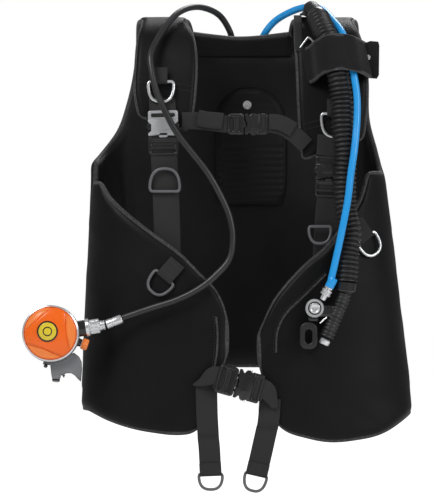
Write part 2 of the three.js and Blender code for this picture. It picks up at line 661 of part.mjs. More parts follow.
function inflatorBody() {
  const tube = hose([vec(143, -243, -176), vec(139, -243, -190), vec(129, -243, -214), vec(118, -243, -240)], 20, 6, 14);
  const sleeve = turned([[0, 0], [15, 0], [15, 13], [0, 13]], vec(144.6, -242.4, -164.4), vec(-0.1, -0.05, -1), 16);
  const housing = turned([[0, 0], [12, 0], [13.5, 3], [13.5, HOUSING_DEPTH], [0, HOUSING_DEPTH]], HOUSING, FRONT, 18);
  const bridge = new THREE.BoxGeometry(22, 15, 17).translate(116, -243, -204);
  const neck = new THREE.BoxGeometry(13, 12, 16).translate(100, -243, -210);
  const pocket = turned([[0, 0], [8.4, 0], [8.4, 20], [0, 20]], HOUSING.clone().add(vec(0, -HOUSING_DEPTH + 7, 0)), FRONT, 18);
  const whole = [tube, sleeve, housing, bridge, neck].map(solid).reduce((sum, next) => sum.add(next));
  return shell(whole.subtract(solid(pocket)));
}

function inflateButton() {
  const profile = [[0, 0], [8, 0], [8, 6.5], [6.8, 8], [0, 8]];
  return turned(profile, HOUSING.clone().add(vec(0, -HOUSING_DEPTH + 7 - BUTTON_TRAVEL - CLEAR, 0)), FRONT, 18);
}

function deflateCap() {
  const axis = vec(-0.42, 0, -0.91);
  const base = vec(118, -243, -240).addScaledVector(axis, BUTTON_TRAVEL + CLEAR + 0.6);
  return turned([[0, 0], [7.6, 0], [7.6, 7], [6, 8.5], [0, 8.5]], base, axis, 20);
}

function oralMouthpiece() {
  const shape = roundedOutline(new THREE.Shape(), 0, 0, 25, 38, 10);
  shape.holes.push(roundedOutline(new THREE.Path(), 0, -1, 9, 19, 4.4));
  const geometry = new THREE.ExtrudeGeometry(shape, { depth: 14, bevelEnabled: false, curveSegments: 5 });
  return placed(welded(geometry), vec(92.5, -236, -238.5), RIGHTWARD, vec(0.06, 0, 1));
}

function coupling() {
  const start = vec(121, -256, -170.3);
  const axis = vec(-0.42, 0.1, -0.8).normalize();
  add('coupling_body', turned([[0, 0], [6, 0], [6, 3], [4.4, 3.6], [4.4, 20], [0, 20]], start, axis, 14), 'steel');
  const ring = [[4.9, 4.2], [7.4, 4.2], [7.4, 13], [4.9, 13], [4.9, 4.2]];
  add('coupling_collar', turned(ring, start, axis, 14), 'steel');
}

// ---- second stage ----

const INLET_AXIS = vec(0.988, 0, 0.152);

function stageBody() {
  const centre = vec(STAGE.x, STAGE.y, STAGE.z);
  const r = STAGE.radius;
  const bowl = turned([[0, 0], [r, 0], [r, 9], [r - 3, 18], [r - 9, 27], [r - 18, STAGE.depth], [0, STAGE.depth]],
    centre, vec(0, 1, 0), 24);
  const inletStart = centre.clone().add(vec(0, 12, 0)).addScaledVector(INLET_AXIS, r - 8);
  const inlet = turned([[0, 0], [11.5, 0], [11.5, 20], [0, 20]], inletStart, INLET_AXIS, 16);
  const knobStart = centre.clone().add(vec(0, 12, 0)).addScaledVector(KNOB_AXIS, r - 8);
  const boss = turned([[0, 0], [5.5, 0], [5.5, 16], [0, 16]], knobStart, KNOB_AXIS, 12);
  return joined(bowl, inlet, boss);
}

const KNOB_AXIS = vec(0.95, 0, -0.31);

function stage() {
  const centre = vec(STAGE.x, STAGE.y, STAGE.z);
  const c = STAGE.cover;
  add('stage_body', stageBody(), 'black_plastic');
  const cover = [[0, 0], [c, 0], [c, 5], [c - 5, 9], [c - 17, STAGE.cover_depth], [0, STAGE.cover_depth]];
  add('purge_cover', turned(cover, centre.clone().add(vec(0, -CLEAR - BUTTON_TRAVEL, 0)), FRONT, 26), 'orange_plastic');
  const middle = centre.clone().add(vec(0, 12, 0));
  const knobBase = middle.clone().addScaledVector(KNOB_AXIS, STAGE.radius + 8 + CLEAR);
  add('adjuster_knob', turned([[0, 0], [8, 0], [8, 8], [6, 9.5], [0, 9.5]], knobBase, KNOB_AXIS, 14), 'orange_plastic');
  const inletEnd = middle.clone().addScaledVector(INLET_AXIS, STAGE.radius + 12 + CLEAR);
  const nut = [[0, 0], [12, 0], [12, 6], [9.5, 7], [9.5, 20], [7, 21], [7, 27], [0, 27]];
  add('hose_swivel', turned(nut, inletEnd, INLET_AXIS, 16), 'steel');
  const nutAxis = vec(0.93, -0.02, 0.36);
  const ferrule = [[0, 0], [6.4, 0], [6.4, 23], [0, 23]];
  const ferruleStart = inletEnd.clone().addScaledVector(INLET_AXIS, 29.4);
  add('hose_ferrule', turned(ferrule, ferruleStart, nutAxis, 14), 'steel');
  const tee = new THREE.Shape();
  tee.moveTo(-19, 0);
  tee.lineTo(17, 0);
  tee.bezierCurveTo(18, -12, 23, -24, 23, -33);
  tee.lineTo(5, -33);
  tee.bezierCurveTo(-2, -24, -12, -16, -19, -10);
  const teeBody = welded(new THREE.ExtrudeGeometry(tee, { depth: 28, bevelEnabled: false, curveSegments: 6 }));
  add('exhaust_tee', placed(teeBody, vec(STAGE.x + 15, STAGE.y + 30, STAGE.z - STAGE.radius - 1.2), RIGHTWARD, UPWARD),
    'grey_plastic');
  const bite = roundedOutline(new THREE.Shape(), 0, 0, 40, 22, 10);
  bite.holes.push(roundedOutline(new THREE.Path(), 0, 0, 33, 15, 7));
  const mouthpiece = welded(new THREE.ExtrudeGeometry(bite, { depth: 26, bevelEnabled: false, curveSegments: 5 }));
  const rear = vec(STAGE.x, STAGE.y + STAGE.depth + 26 + CLEAR, STAGE.z);
  add('bite_mouthpiece', placed(mouthpiece, rear, RIGHTWARD, UPWARD), 'rubber');
}

function build() {
  add('back_panel', backPanel(), 'lining');
  add('neck_collar', neckCollar(), 'nylon');
  add('back_pad', backPad(), 'lining');
  add('back_rivet', backRivet(), 'steel');
  for (const side of ['left', 'right']) {
    add(`${side}_lobe`, lobe(side), 'nylon');
    add(`${side}_shoulder_panel`, shoulderPanel(side), 'nylon');
  }
  shoulderStraps();
  sternumStrap();
  waistStrap();
  lobeRing('left', -106, -157, vec(-0.65, 0, -0.76));
  lobeRing('right', 168, -102, vec(0.6, 0, -0.8));
  add('back_plate', backPlate(), 'black_plastic');
  add('tank_band', tankBand(), 'webbing');
  camBuckle();
  add('carry_handle', carryHandle(), 'webbing');
  add('dump_elbow', dumpElbow(), 'black_plastic');
  add('corrugated_hose', hose(CORRUGATED_PATH, CORRUGATED_HOSE, 20, 10), 'rubber');
  add('hose_keeper', hoseKeeper(), 'webbing');
  add('inflator_body', inflatorBody(), 'black_plastic');
  add('inflate_button', inflateButton(), 'steel');
  add('deflate_cap', deflateCap(), 'steel');
  add('oral_mouthpiece', oralMouthpiece(), 'rubber');
  coupling();
  add('inflator_hose', hose([...INFLATOR_TAIL, ...INFLATOR_PATH], INFLATOR_HOSE, 36, 8), 'blue_rubber');
  add('inflator_hose_end', hoseEnd(INFLATOR_TAIL[0]), 'steel');
  add('regulator_hose', hose([...REGULATOR_TAIL, ...REGULATOR_PATH], REGULATOR_HOSE, 46, 8), 'rubber');
  add('regulator_hose_end', hoseEnd(REGULATOR_TAIL[0]), 'steel');
  stage();
}

build();

export default group;
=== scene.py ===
"""Buoyancy vest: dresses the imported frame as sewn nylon, webbing, hoses and moulded parts."""

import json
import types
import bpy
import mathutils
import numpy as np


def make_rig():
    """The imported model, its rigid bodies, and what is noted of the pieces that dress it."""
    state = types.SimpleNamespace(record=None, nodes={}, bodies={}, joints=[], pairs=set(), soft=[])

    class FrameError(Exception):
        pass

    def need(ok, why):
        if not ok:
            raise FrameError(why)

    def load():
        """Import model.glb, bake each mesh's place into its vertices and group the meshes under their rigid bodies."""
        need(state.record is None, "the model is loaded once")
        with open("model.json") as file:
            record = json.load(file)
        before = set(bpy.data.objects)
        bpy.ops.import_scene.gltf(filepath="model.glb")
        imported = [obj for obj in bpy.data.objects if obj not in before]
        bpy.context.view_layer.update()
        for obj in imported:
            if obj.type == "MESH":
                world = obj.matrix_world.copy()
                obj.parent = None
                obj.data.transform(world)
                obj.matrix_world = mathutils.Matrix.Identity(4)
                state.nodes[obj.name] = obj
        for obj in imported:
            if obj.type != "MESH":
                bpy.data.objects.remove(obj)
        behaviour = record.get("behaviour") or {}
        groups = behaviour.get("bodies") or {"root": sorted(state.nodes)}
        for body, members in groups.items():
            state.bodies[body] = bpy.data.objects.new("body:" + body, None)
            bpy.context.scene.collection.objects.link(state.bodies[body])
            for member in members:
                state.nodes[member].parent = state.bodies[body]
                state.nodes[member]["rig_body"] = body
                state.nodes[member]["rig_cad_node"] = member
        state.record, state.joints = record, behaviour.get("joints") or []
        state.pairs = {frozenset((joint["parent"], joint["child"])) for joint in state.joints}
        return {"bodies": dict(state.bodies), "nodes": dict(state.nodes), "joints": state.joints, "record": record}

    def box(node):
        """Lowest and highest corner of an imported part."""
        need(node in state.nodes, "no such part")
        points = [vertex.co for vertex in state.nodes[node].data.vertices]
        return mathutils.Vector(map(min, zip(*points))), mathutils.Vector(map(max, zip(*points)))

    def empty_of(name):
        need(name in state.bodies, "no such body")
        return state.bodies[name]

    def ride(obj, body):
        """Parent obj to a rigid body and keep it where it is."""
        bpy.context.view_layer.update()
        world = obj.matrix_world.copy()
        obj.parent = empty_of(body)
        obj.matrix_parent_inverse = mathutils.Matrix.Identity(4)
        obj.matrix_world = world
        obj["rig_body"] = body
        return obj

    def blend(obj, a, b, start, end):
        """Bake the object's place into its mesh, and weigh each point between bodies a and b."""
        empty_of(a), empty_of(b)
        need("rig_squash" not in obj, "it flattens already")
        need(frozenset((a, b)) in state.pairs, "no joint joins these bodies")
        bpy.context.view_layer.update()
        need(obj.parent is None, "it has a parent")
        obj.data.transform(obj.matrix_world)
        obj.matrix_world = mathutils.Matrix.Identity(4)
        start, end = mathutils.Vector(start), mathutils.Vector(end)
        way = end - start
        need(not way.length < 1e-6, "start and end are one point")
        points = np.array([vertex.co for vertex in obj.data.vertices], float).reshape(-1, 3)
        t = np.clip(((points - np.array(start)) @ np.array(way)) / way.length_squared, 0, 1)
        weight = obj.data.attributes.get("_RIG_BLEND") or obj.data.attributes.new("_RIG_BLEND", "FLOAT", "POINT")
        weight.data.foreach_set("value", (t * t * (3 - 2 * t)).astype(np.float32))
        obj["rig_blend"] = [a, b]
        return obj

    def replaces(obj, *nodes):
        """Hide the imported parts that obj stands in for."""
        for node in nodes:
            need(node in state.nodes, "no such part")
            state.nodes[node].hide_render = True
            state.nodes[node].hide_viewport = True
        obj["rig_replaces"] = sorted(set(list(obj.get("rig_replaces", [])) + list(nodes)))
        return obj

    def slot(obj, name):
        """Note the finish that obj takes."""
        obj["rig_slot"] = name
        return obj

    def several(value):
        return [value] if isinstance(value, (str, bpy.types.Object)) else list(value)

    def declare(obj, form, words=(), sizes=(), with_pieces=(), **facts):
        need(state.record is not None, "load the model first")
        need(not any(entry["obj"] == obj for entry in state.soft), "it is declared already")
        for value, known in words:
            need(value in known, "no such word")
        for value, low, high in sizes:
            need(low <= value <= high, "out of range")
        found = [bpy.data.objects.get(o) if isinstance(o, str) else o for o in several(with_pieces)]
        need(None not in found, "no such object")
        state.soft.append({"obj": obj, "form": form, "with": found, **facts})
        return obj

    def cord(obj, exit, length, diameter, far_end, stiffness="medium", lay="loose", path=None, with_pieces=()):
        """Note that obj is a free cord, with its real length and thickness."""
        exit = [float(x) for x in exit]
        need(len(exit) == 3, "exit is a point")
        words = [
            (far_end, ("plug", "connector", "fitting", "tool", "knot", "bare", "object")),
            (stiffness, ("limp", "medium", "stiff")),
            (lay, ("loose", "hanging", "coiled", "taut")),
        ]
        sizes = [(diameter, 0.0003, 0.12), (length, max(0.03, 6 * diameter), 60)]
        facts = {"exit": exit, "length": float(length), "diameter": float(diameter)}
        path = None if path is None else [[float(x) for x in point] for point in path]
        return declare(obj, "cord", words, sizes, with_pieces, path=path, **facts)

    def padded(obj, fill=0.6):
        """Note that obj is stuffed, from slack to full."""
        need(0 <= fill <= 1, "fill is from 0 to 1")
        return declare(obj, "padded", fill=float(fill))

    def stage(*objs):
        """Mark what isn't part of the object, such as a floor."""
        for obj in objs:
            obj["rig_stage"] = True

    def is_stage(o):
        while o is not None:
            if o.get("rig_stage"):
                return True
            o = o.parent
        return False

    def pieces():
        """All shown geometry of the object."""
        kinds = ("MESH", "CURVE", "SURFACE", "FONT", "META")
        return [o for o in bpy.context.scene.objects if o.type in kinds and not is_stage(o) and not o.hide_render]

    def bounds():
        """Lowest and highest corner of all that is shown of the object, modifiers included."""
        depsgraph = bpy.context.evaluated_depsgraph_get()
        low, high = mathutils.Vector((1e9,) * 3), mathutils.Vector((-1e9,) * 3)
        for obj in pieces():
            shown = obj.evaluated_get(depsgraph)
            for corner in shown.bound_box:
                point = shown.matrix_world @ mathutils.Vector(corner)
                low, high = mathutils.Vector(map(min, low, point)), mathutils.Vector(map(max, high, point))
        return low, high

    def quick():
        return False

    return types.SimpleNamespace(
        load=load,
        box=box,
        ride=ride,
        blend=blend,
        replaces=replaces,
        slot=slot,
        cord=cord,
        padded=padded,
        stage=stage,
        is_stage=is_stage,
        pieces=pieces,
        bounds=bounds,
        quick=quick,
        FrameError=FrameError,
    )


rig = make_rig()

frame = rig.load()

import json
import logging
from dataclasses import dataclass, field
from enum import Enum
from math import asin, atan2, copysign, cos, exp, hypot, pi, radians, sin, sqrt, tau
from typing import Callable, Sequence

import bmesh
import bpy
from mathutils import Matrix, Vector, noise

logging.basicConfig(level=logging.INFO, format="%(message)s")
LOG = logging.getLogger("vest")
MM = 0.001
BODY = "vest"
RIGHTWARD = Vector((1, 0, 0))
LEFTWARD = Vector((-1, 0, 0))
UPWARD = Vector((0, 0, 1))
DOWNWARD = Vector((0, 0, -1))
FORWARD = Vector((0, -1, 0))
BACKWARD = Vector((0, 1, 0))
Pairs = Sequence[tuple[float, float]]
Surface = Callable[[float, float], Vector]
Piece = bpy.types.Object
Socket = bpy.types.NodeSocket
WEAVE_PITCH = 1.1
HERRINGBONE_PITCH = 4.4
HERRINGBONE_COLUMN = 9.0
SEAM_STEP = 4 * MM


def mm(x: float, y: float, z: float) -> Vector:
    """A point given in millimetres, in metres."""
    return Vector((x, y, z)) * MM


def points_mm(*rows: tuple[float, float, float]) -> list[Vector]:
    """Several points given in millimetres."""
    return [mm(*row) for row in rows]


class Side(Enum):
    """Left or right as seen from the front."""

    LEFT = "left"
    RIGHT = "right"

    @property
    def sign(self) -> int:
        """-1 on the left, 1 on the right."""
        return -1 if self is Side.LEFT else 1


class Texture(Enum):
    """What the surface of a finish is made of."""

    CLOTH = "plain woven cloth"
    CHEVRON = "herringbone webbing, laid out by its UVs"
    TAPE = "speckled mesh binding tape"
    MOULDED = "moulded plastic"
    RUBBER = "extruded rubber"
    METAL = "drawn or turned metal"
    PILE = "hook-and-loop pile"


@dataclass(frozen=True)
class Finish:
    """One material: its colour, gloss and surface texture."""

    name: str
    colour: tuple[float, float, float]
    texture: Texture
    rough: float = 0.6
    metal: float = 0.0
    sheen: float = 0.0
    coat: float = 0.0
    specular: float = 0.5
    relief: float = 0.2
    variation: float = 0.25
    slot: str = "nylon"

    def material(self) -> bpy.types.Material:
        """The node material, made once and then shared.

        Returns:
            The Blender material of this finish.
        """
        made = bpy.data.materials.get(self.name)
        if made is not None:
            return made
        made = bpy.data.materials.new(self.name)
        made.use_nodes = True
        made.diffuse_color = (*self.colour, 1)
        NodeWriter(made, self).write()
        return made


class NodeWriter:
    """Builds the node tree of a finish."""

    def __init__(self, material: bpy.types.Material, finish: Finish) -> None:
        """Keeps the material's tree and its shader.

        Args:
            material: a material with nodes.
            finish: the finish it shows.
        """
        self.finish = finish
        self.tree = material.node_tree
        self.shader = self.tree.nodes["Principled BSDF"]
        self.coordinates = self.tree.nodes.new("ShaderNodeTexCoord")

    def node(self, kind: str, **values: object) -> bpy.types.Node:
        """Adds a node and sets its properties or input values.

        Args:
            kind: the node's type name.
            values: property names, or input names with spaces as underscores.

        Returns:
            The new node.
        """
        made = self.tree.nodes.new(kind)
        for key, value in values.items():
            if hasattr(made, key):
                setattr(made, key, value)
            else:
                made.inputs[key.replace("_", " ")].default_value = value
        return made

    def link(self, out: Socket, into: Socket) -> None:
        """Joins two sockets."""
        self.tree.links.new(out, into)

    def maths(self, operation: str, a: object, b: object = 0.0) -> Socket:
        """A maths node over sockets or numbers.

        Args:
            operation: the maths operation.
            a: first socket or number.
            b: second socket or number.

        Returns:
            The result socket.
        """
        made = self.node("ShaderNodeMath", operation=operation)
        for index, value in enumerate((a, b)):
            if isinstance(value, Socket):
                self.link(value, made.inputs[index])
            else:
                made.inputs[index].default_value = float(value)
        return made.outputs[0]

    def noise(self, scale: float, detail: float = 3.0) -> Socket:
        """A noise value over the object's own coordinates.

        Args:
            scale: noise scale.
            detail: noise detail.

        Returns:
            The noise socket.
        """
        made = self.node("ShaderNodeTexNoise", Scale=scale, Detail=detail)
        self.link(self.coordinates.outputs["Object"], made.inputs["Vector"])
        return made.outputs["Fac"]

    def relief_of_cloth(self) -> Socket:
        """Plain weave: crossed fine waves, with slow pucker.

        Returns:
            The height socket.
        """
        split = self.node("ShaderNodeSeparateXYZ")
        self.link(self.coordinates.outputs["Object"], split.inputs[0])
        pitch = tau / (WEAVE_PITCH * MM)
        slant = self.maths("ADD", split.outputs[0], split.outputs[1])
        warp = self.maths("SINE", self.maths("MULTIPLY", slant, pitch))
        weft = self.maths("SINE", self.maths("MULTIPLY", split.outputs[2], pitch))
        weave = self.maths("MULTIPLY", self.maths("MULTIPLY", warp, weft), 0.35)
        return self.maths("ADD", weave, self.maths("MULTIPLY", self.noise(38.0), 2.4))

    def relief_of_chevron(self) -> Socket:
        """Herringbone: slanted ribs that turn back every few millimetres across the webbing.

        Returns:
            The height socket.
        """
        uv = self.node("ShaderNodeSeparateXYZ")
        self.link(self.coordinates.outputs["UV"], uv.inputs[0])
        zigzag = self.maths("PINGPONG", uv.outputs[0], HERRINGBONE_COLUMN)
        slant = self.maths("ADD", uv.outputs[1], zigzag)
        ribs = self.maths("SINE", self.maths("MULTIPLY", slant, tau / HERRINGBONE_PITCH))
        column = self.maths("MULTIPLY", uv.outputs[0], pi / HERRINGBONE_COLUMN)
        column = self.maths("ABSOLUTE", self.maths("SINE", column))
        return self.maths("ADD", self.maths("MULTIPLY", ribs, 0.6), self.maths("MULTIPLY", column, 0.7))

    def relief_of_spots(self, scale: float) -> Socket:
        """Small cells, as in mesh tape or pile.

        Args:
            scale: cells per metre.

        Returns:
            The height socket.
        """
        made = self.node("ShaderNodeTexVoronoi", Scale=scale)
        self.link(self.coordinates.outputs["Object"], made.inputs["Vector"])
        return made.outputs["Distance"]

    def write(self) -> None:
        """Fills in the shader."""
        f = self.finish
        reliefs = {
            Texture.CLOTH: self.relief_of_cloth,
            Texture.CHEVRON: self.relief_of_chevron,
            Texture.TAPE: lambda: self.relief_of_spots(430.0),
            Texture.PILE: lambda: self.relief_of_spots(900.0),
            Texture.MOULDED: lambda: self.noise(900.0, 2.0),
            Texture.RUBBER: lambda: self.noise(420.0, 2.0),
            Texture.METAL: lambda: self.noise(260.0, 6.0),
        }
        height = reliefs[f.texture]()
        depth = {Texture.CLOTH: 0.22, Texture.CHEVRON: 0.45, Texture.TAPE: 0.8, Texture.PILE: 0.9}
        bump = self.node("ShaderNodeBump", Strength=f.relief, Distance=depth.get(f.texture, 0.12) * MM)
        self.link(height, bump.inputs["Height"])
        self.link(bump.outputs[0], self.shader.inputs["Normal"])
        ramp = self.node(
            "ShaderNodeMapRange", From_Min=0.3, From_Max=0.7, To_Min=1 - f.variation, To_Max=1 + f.variation
        )
        self.link(self.noise(14.0, 4.0), ramp.inputs["Value"])
        tint = ramp.outputs[0]
        # Colour follows the relief height. On webbing this is painted shade in the herringbone grooves and painted
        # highlight on its ribs. On binding tape it sets the speckles, darker at each cell's middle.
        if f.texture in (Texture.TAPE, Texture.CHEVRON):
            gain, base = (2.2, 0.1) if f.texture is Texture.TAPE else (0.75, 0.6)
            speckle_and_painted_weave_shade = self.maths("ADD", self.maths("MULTIPLY", height, gain), base)
            tint = self.maths("MULTIPLY", tint, speckle_and_painted_weave_shade)
        colour = self.node("ShaderNodeVectorMath", operation="SCALE")
        colour.inputs[0].default_value = f.colour
        self.link(tint, colour.inputs["Scale"])
        self.link(colour.outputs[0], self.shader.inputs["Base Color"])
        low, high = max(0.03, f.rough - 0.1), min(1.0, f.rough + 0.1)
        rough = self.node("ShaderNodeMapRange", To_Min=low, To_Max=high)
        self.link(self.noise(60.0, 4.0), rough.inputs["Value"])
        self.link(rough.outputs[0], self.shader.inputs["Roughness"])
        self.shader.inputs["Metallic"].default_value = f.metal
        self.shader.inputs["Sheen Weight"].default_value = f.sheen
        self.shader.inputs["Sheen Roughness"].default_value = 0.45
        self.shader.inputs["Coat Weight"].default_value = f.coat
        self.shader.inputs["Coat Roughness"].default_value = 0.08
        self.shader.inputs["Specular IOR Level"].default_value = f.specular


NYLON = Finish(
    "nylon_shell", (0.0052, 0.0052, 0.0058), Texture.CLOTH, 0.46, sheen=0.01, specular=0.16, relief=0.4,
    variation=0.2
)
LINING = Finish(
    "nylon_lining", (0.0068, 0.0068, 0.0074), Texture.CLOTH, 0.58, sheen=0.02, specular=0.2, relief=0.35,
    slot="lining"
)
WEBBING = Finish(
    "webbing", (0.013, 0.013, 0.014), Texture.CHEVRON, 0.5, sheen=0.08, specular=0.35, relief=0.8,
    slot="webbing"
)
TAPE = Finish(
    "binding_tape", (0.03, 0.03, 0.032), Texture.TAPE, 0.62, sheen=0.15, specular=0.4, relief=0.8,
    slot="webbing"
)
PILE = Finish(
    "keeper_pile", (0.008, 0.008, 0.0086), Texture.PILE, 0.75, sheen=0.08, specular=0.2, relief=0.6,
    slot="webbing"
)
THREAD = Finish("thread", (0.035, 0.035, 0.037), Texture.RUBBER, 0.6, sheen=0.1, slot="webbing")
BLACK = Finish(
    "black_moulding", (0.0115, 0.0115, 0.0125), Texture.MOULDED, 0.22, coat=0.4, relief=0.2,
    slot="black_plastic"
)
SATIN = Finish(
    "satin_moulding", (0.5, 0.505, 0.525), Texture.MOULDED, 0.34, 0.25, relief=0.2, slot="satin_plastic"
)
GREY = Finish("grey_moulding", (0.17, 0.175, 0.185), Texture.MOULDED, 0.42, relief=0.25, slot="grey_plastic")
STEEL = Finish(
    "polished_steel", (0.78, 0.785, 0.8), Texture.METAL, 0.24, 0.7, relief=0.12, variation=0.06, slot="steel"
)
DARK_STEEL = Finish("dark_steel", (0.16, 0.16, 0.17), Texture.METAL, 0.3, 1.0, relief=0.15, slot="dark_steel")
RUBBER = Finish("black_rubber", (0.0125, 0.0125, 0.0135), Texture.RUBBER, 0.42, relief=0.3, slot="rubber")
HOSE = Finish("hose_rubber", (0.02, 0.02, 0.0215), Texture.RUBBER, 0.38, relief=0.3, slot="rubber")
BLUE = Finish(
    "blue_rubber", (0.018, 0.38, 0.88), Texture.RUBBER, 0.26, coat=0.7, relief=0.15, variation=0.06,
    slot="blue_rubber"
)
ORANGE = Finish(
    "orange_gloss", (0.97, 0.15, 0.008), Texture.MOULDED, 0.3, coat=0.3, specular=0.35, relief=0.08,
    variation=0.05, slot="orange_plastic"
)
PALE_ORANGE = Finish(
    "orange_facet", (0.97, 0.25, 0.05), Texture.MOULDED, 0.32, coat=0.25, specular=0.35, relief=0.08,
    variation=0.05, slot="orange_plastic"
)
YELLOW = Finish(
    "yellow_disc", (0.78, 0.6, 0.03), Texture.MOULDED, 0.35, coat=0.3, relief=0.08, variation=0.06,
    slot="orange_plastic"
)


# ---- mesh making ----


def object_of(name: str, verts: Sequence[Vector], faces: Sequence[Sequence[int]], *finishes: Finish) -> Piece:
    """A smooth mesh object with its finishes.

    Args:
        name: the piece's name.
        verts: points in metres.
        faces: vertex indices of each face.
        finishes: the finishes, in slot order.

    Returns:
        The new object, linked to the scene.
    """
    mesh = bpy.data.meshes.new(name)
    mesh.from_pydata([tuple(v) for v in verts], [], [tuple(f) for f in faces])
    mesh.validate()
    mesh.shade_smooth()
    for finish in finishes:
        mesh.materials.append(finish.material())
    made = bpy.data.objects.new(name, mesh)
    bpy.context.scene.collection.objects.link(made)
    if finishes:
        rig.slot(made, finishes[0].slot)
    return made


def fair(obj: Piece, angle: float = 35.0) -> Piece:
    """Points the faces outwards and keeps edges sharper than an angle crisp.

    Args:
        obj: a mesh object.
        angle: the angle in degrees.

    Returns:
        The same object.
    """
    work = bmesh.new()
    work.from_mesh(obj.data)
    bmesh.ops.remove_doubles(work, verts=work.verts, dist=1e-6)
    bmesh.ops.recalc_face_normals(work, faces=work.faces)
    work.to_mesh(obj.data)
    work.free()
    obj.data.shade_smooth()
    obj.data.set_sharp_from_angle(angle=radians(angle))
    return obj


def keep(obj: Piece, *nodes: str, body: str = BODY) -> Piece:
    """Puts a piece on its body in place of CAD nodes.

    Args:
        obj: the finished piece.
        nodes: the CAD nodes it stands for.
        body: the body it rides on.

    Returns:
        The same piece.
    """
    if nodes:
        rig.replaces(obj, *nodes)
    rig.ride(obj, body)
    LOG.info("%s rides on %s", obj.name, body)
    return obj


def joined(name: str, pieces: Sequence[Piece]) -> Piece:
    """Several mesh objects as one.

    Args:
        name: name of the result.
        pieces: the objects, in place.

    Returns:
        One object with the pieces' meshes and materials.
    """
    bpy.context.view_layer.update()
    first = pieces[0]
    with bpy.context.temp_override(active_object=first, selected_editable_objects=list(pieces)):
        bpy.ops.object.join()
    first.name = name
    first.data.name = name
    return first


def catmull(points: Sequence[Vector], per_span: int = 8) -> list[Vector]:
    """Centripetal spline through points, with a number of samples in each span.

    Args:
        points: the points that the curve passes through.
        per_span: samples between neighbouring points.

    Returns:
        The sampled curve, both ends included.
    """
    ends = [points[0] * 2 - points[1], *points, points[-1] * 2 - points[-2]]
    out: list[Vector] = []
    for a, b, c, d in zip(ends, ends[1:], ends[2:], ends[3:]):
        ab, bc, cd = (max(1e-6, (q - p).length ** 0.5) for p, q in ((a, b), (b, c), (c, d)))
        start = ((b - a) / ab - (c - a) / (ab + bc) + (c - b) / bc) * bc
        end = ((c - b) / bc - (d - b) / (bc + cd) + (d - c) / cd) * bc
        for i in range(per_span):
            t = i / per_span
            t2, t3 = t * t, t * t * t
            out.append(
                b * (2 * t3 - 3 * t2 + 1) + start * (t3 - 2 * t2 + t) + c * (3 * t2 - 2 * t3)
                + end * (t3 - t2)
            )
    out.append(points[-1].copy())
    return out


def distances(path: Sequence[Vector]) -> list[float]:
    """Length along a line from its start to each of its points.

    Args:
        path: the line's points.

    Returns:
        One length for each point, in metres.
    """
    out = [0.0]
    for a, b in zip(path, path[1:]):
        out.append(out[-1] + (b - a).length)
    return out


def even_spots(path: Sequence[Vector], step: float) -> list[tuple[int, float]]:
    """Places a fixed step apart along a line.

    Args:
        path: the line's points.
        step: distance from place to place in metres.

    Returns:
        For each place, the point before it and the share of the way to the next point.
    """
    lengths = distances(path)
    count = max(2, round(lengths[-1] / step))
    out, at = [], 0
    for i in range(count + 1):
        target = lengths[-1] * i / count
        while at < len(path) - 2 and lengths[at + 1] < target:
            at += 1
        span = max(1e-9, lengths[at + 1] - lengths[at])
        out.append((at, min(1.0, (target - lengths[at]) / span)))
    return out


def resampled(path: Sequence[Vector], step: float) -> list[Vector]:
    """The same line with points a fixed step apart."""
    return [path[i].lerp(path[i + 1], share) for i, share in even_spots(path, step)]


def powered(value: float, power: float) -> float:
    """A power of a number that keeps its sign, for rounded-off squares."""
    return copysign(abs(value) ** power, value)


def wave(along: float, pitch: float) -> float:
    """An even wave between 0 and 1 at a distance in metres, with its pitch in millimetres."""
    return 0.5 + 0.5 * cos(tau * along / (pitch * MM))


def tangents(path: Sequence[Vector], loop: bool = False) -> list[Vector]:
    """Unit direction of a line at each of its points.

    Args:
        path: the line's points.
        loop: True where the last point leads to the first.

    Returns:
        One direction for each point.
    """
    n = len(path)
    out = []
    for i in range(n):
        before = path[(i - 1) % n] if loop or i else path[0]
        after = path[(i + 1) % n] if loop or i < n - 1 else path[-1]
        out.append((after - before).normalized())
    return out


def skin(
    name: str, rings: Sequence[Sequence[Vector]], finish: Finish, loop: bool = False, caps: bool = True
) -> Piece:
    """A mesh through rings of equal length.

    Args:
        name: the piece's name.
        rings: closed sections in order.
        finish: its finish.
        loop: True joins the last ring to the first.
        caps: True closes both ends.

    Returns:
        The new object.
    """
    count = len(rings[0])
    verts = [p for ring in rings for p in ring]
    faces = []
    for r in range(len(rings) if loop else len(rings) - 1):
        low, high = r * count, ((r + 1) % len(rings)) * count
        for i in range(count):
            j = (i + 1) % count
            faces.append((low + i, low + j, high + j, high + i))
    if caps and not loop:
        faces.append(tuple(range(count)))
        faces.append(tuple(range(len(verts) - count, len(verts))))
    return object_of(name, verts, faces, finish)


def tube(
    name: str, path: Sequence[Vector], radius: Callable[[float], float], finish: Finish, sides: int = 20,
    loop: bool = False
) -> Piece:
    """A round tube whose radius may change along its length.

    Args:
        name: the piece's name.
        path: the centre line.
        radius: radius in metres at a distance in metres along the line.
        finish: its finish.
        sides: points round the tube.
        loop: True for a closed ring.

    Returns:
        The new object.
    """
    directions = tangents(path, loop)
    side = directions[0].orthogonal().normalized()
    rings, along = [], 0.0
    for i, (centre, direction) in enumerate(zip(path, directions)):
        along += (centre - path[i - 1]).length if i else 0.0
        side = (side - direction * side.dot(direction)).normalized()
        other = direction.cross(side)
        r = radius(along)
        turns = [tau * k / sides for k in range(sides)]
        rings.append([centre + side * (r * cos(t)) + other * (r * sin(t)) for t in turns])
    return fair(skin(name, rings, finish, loop), 60)


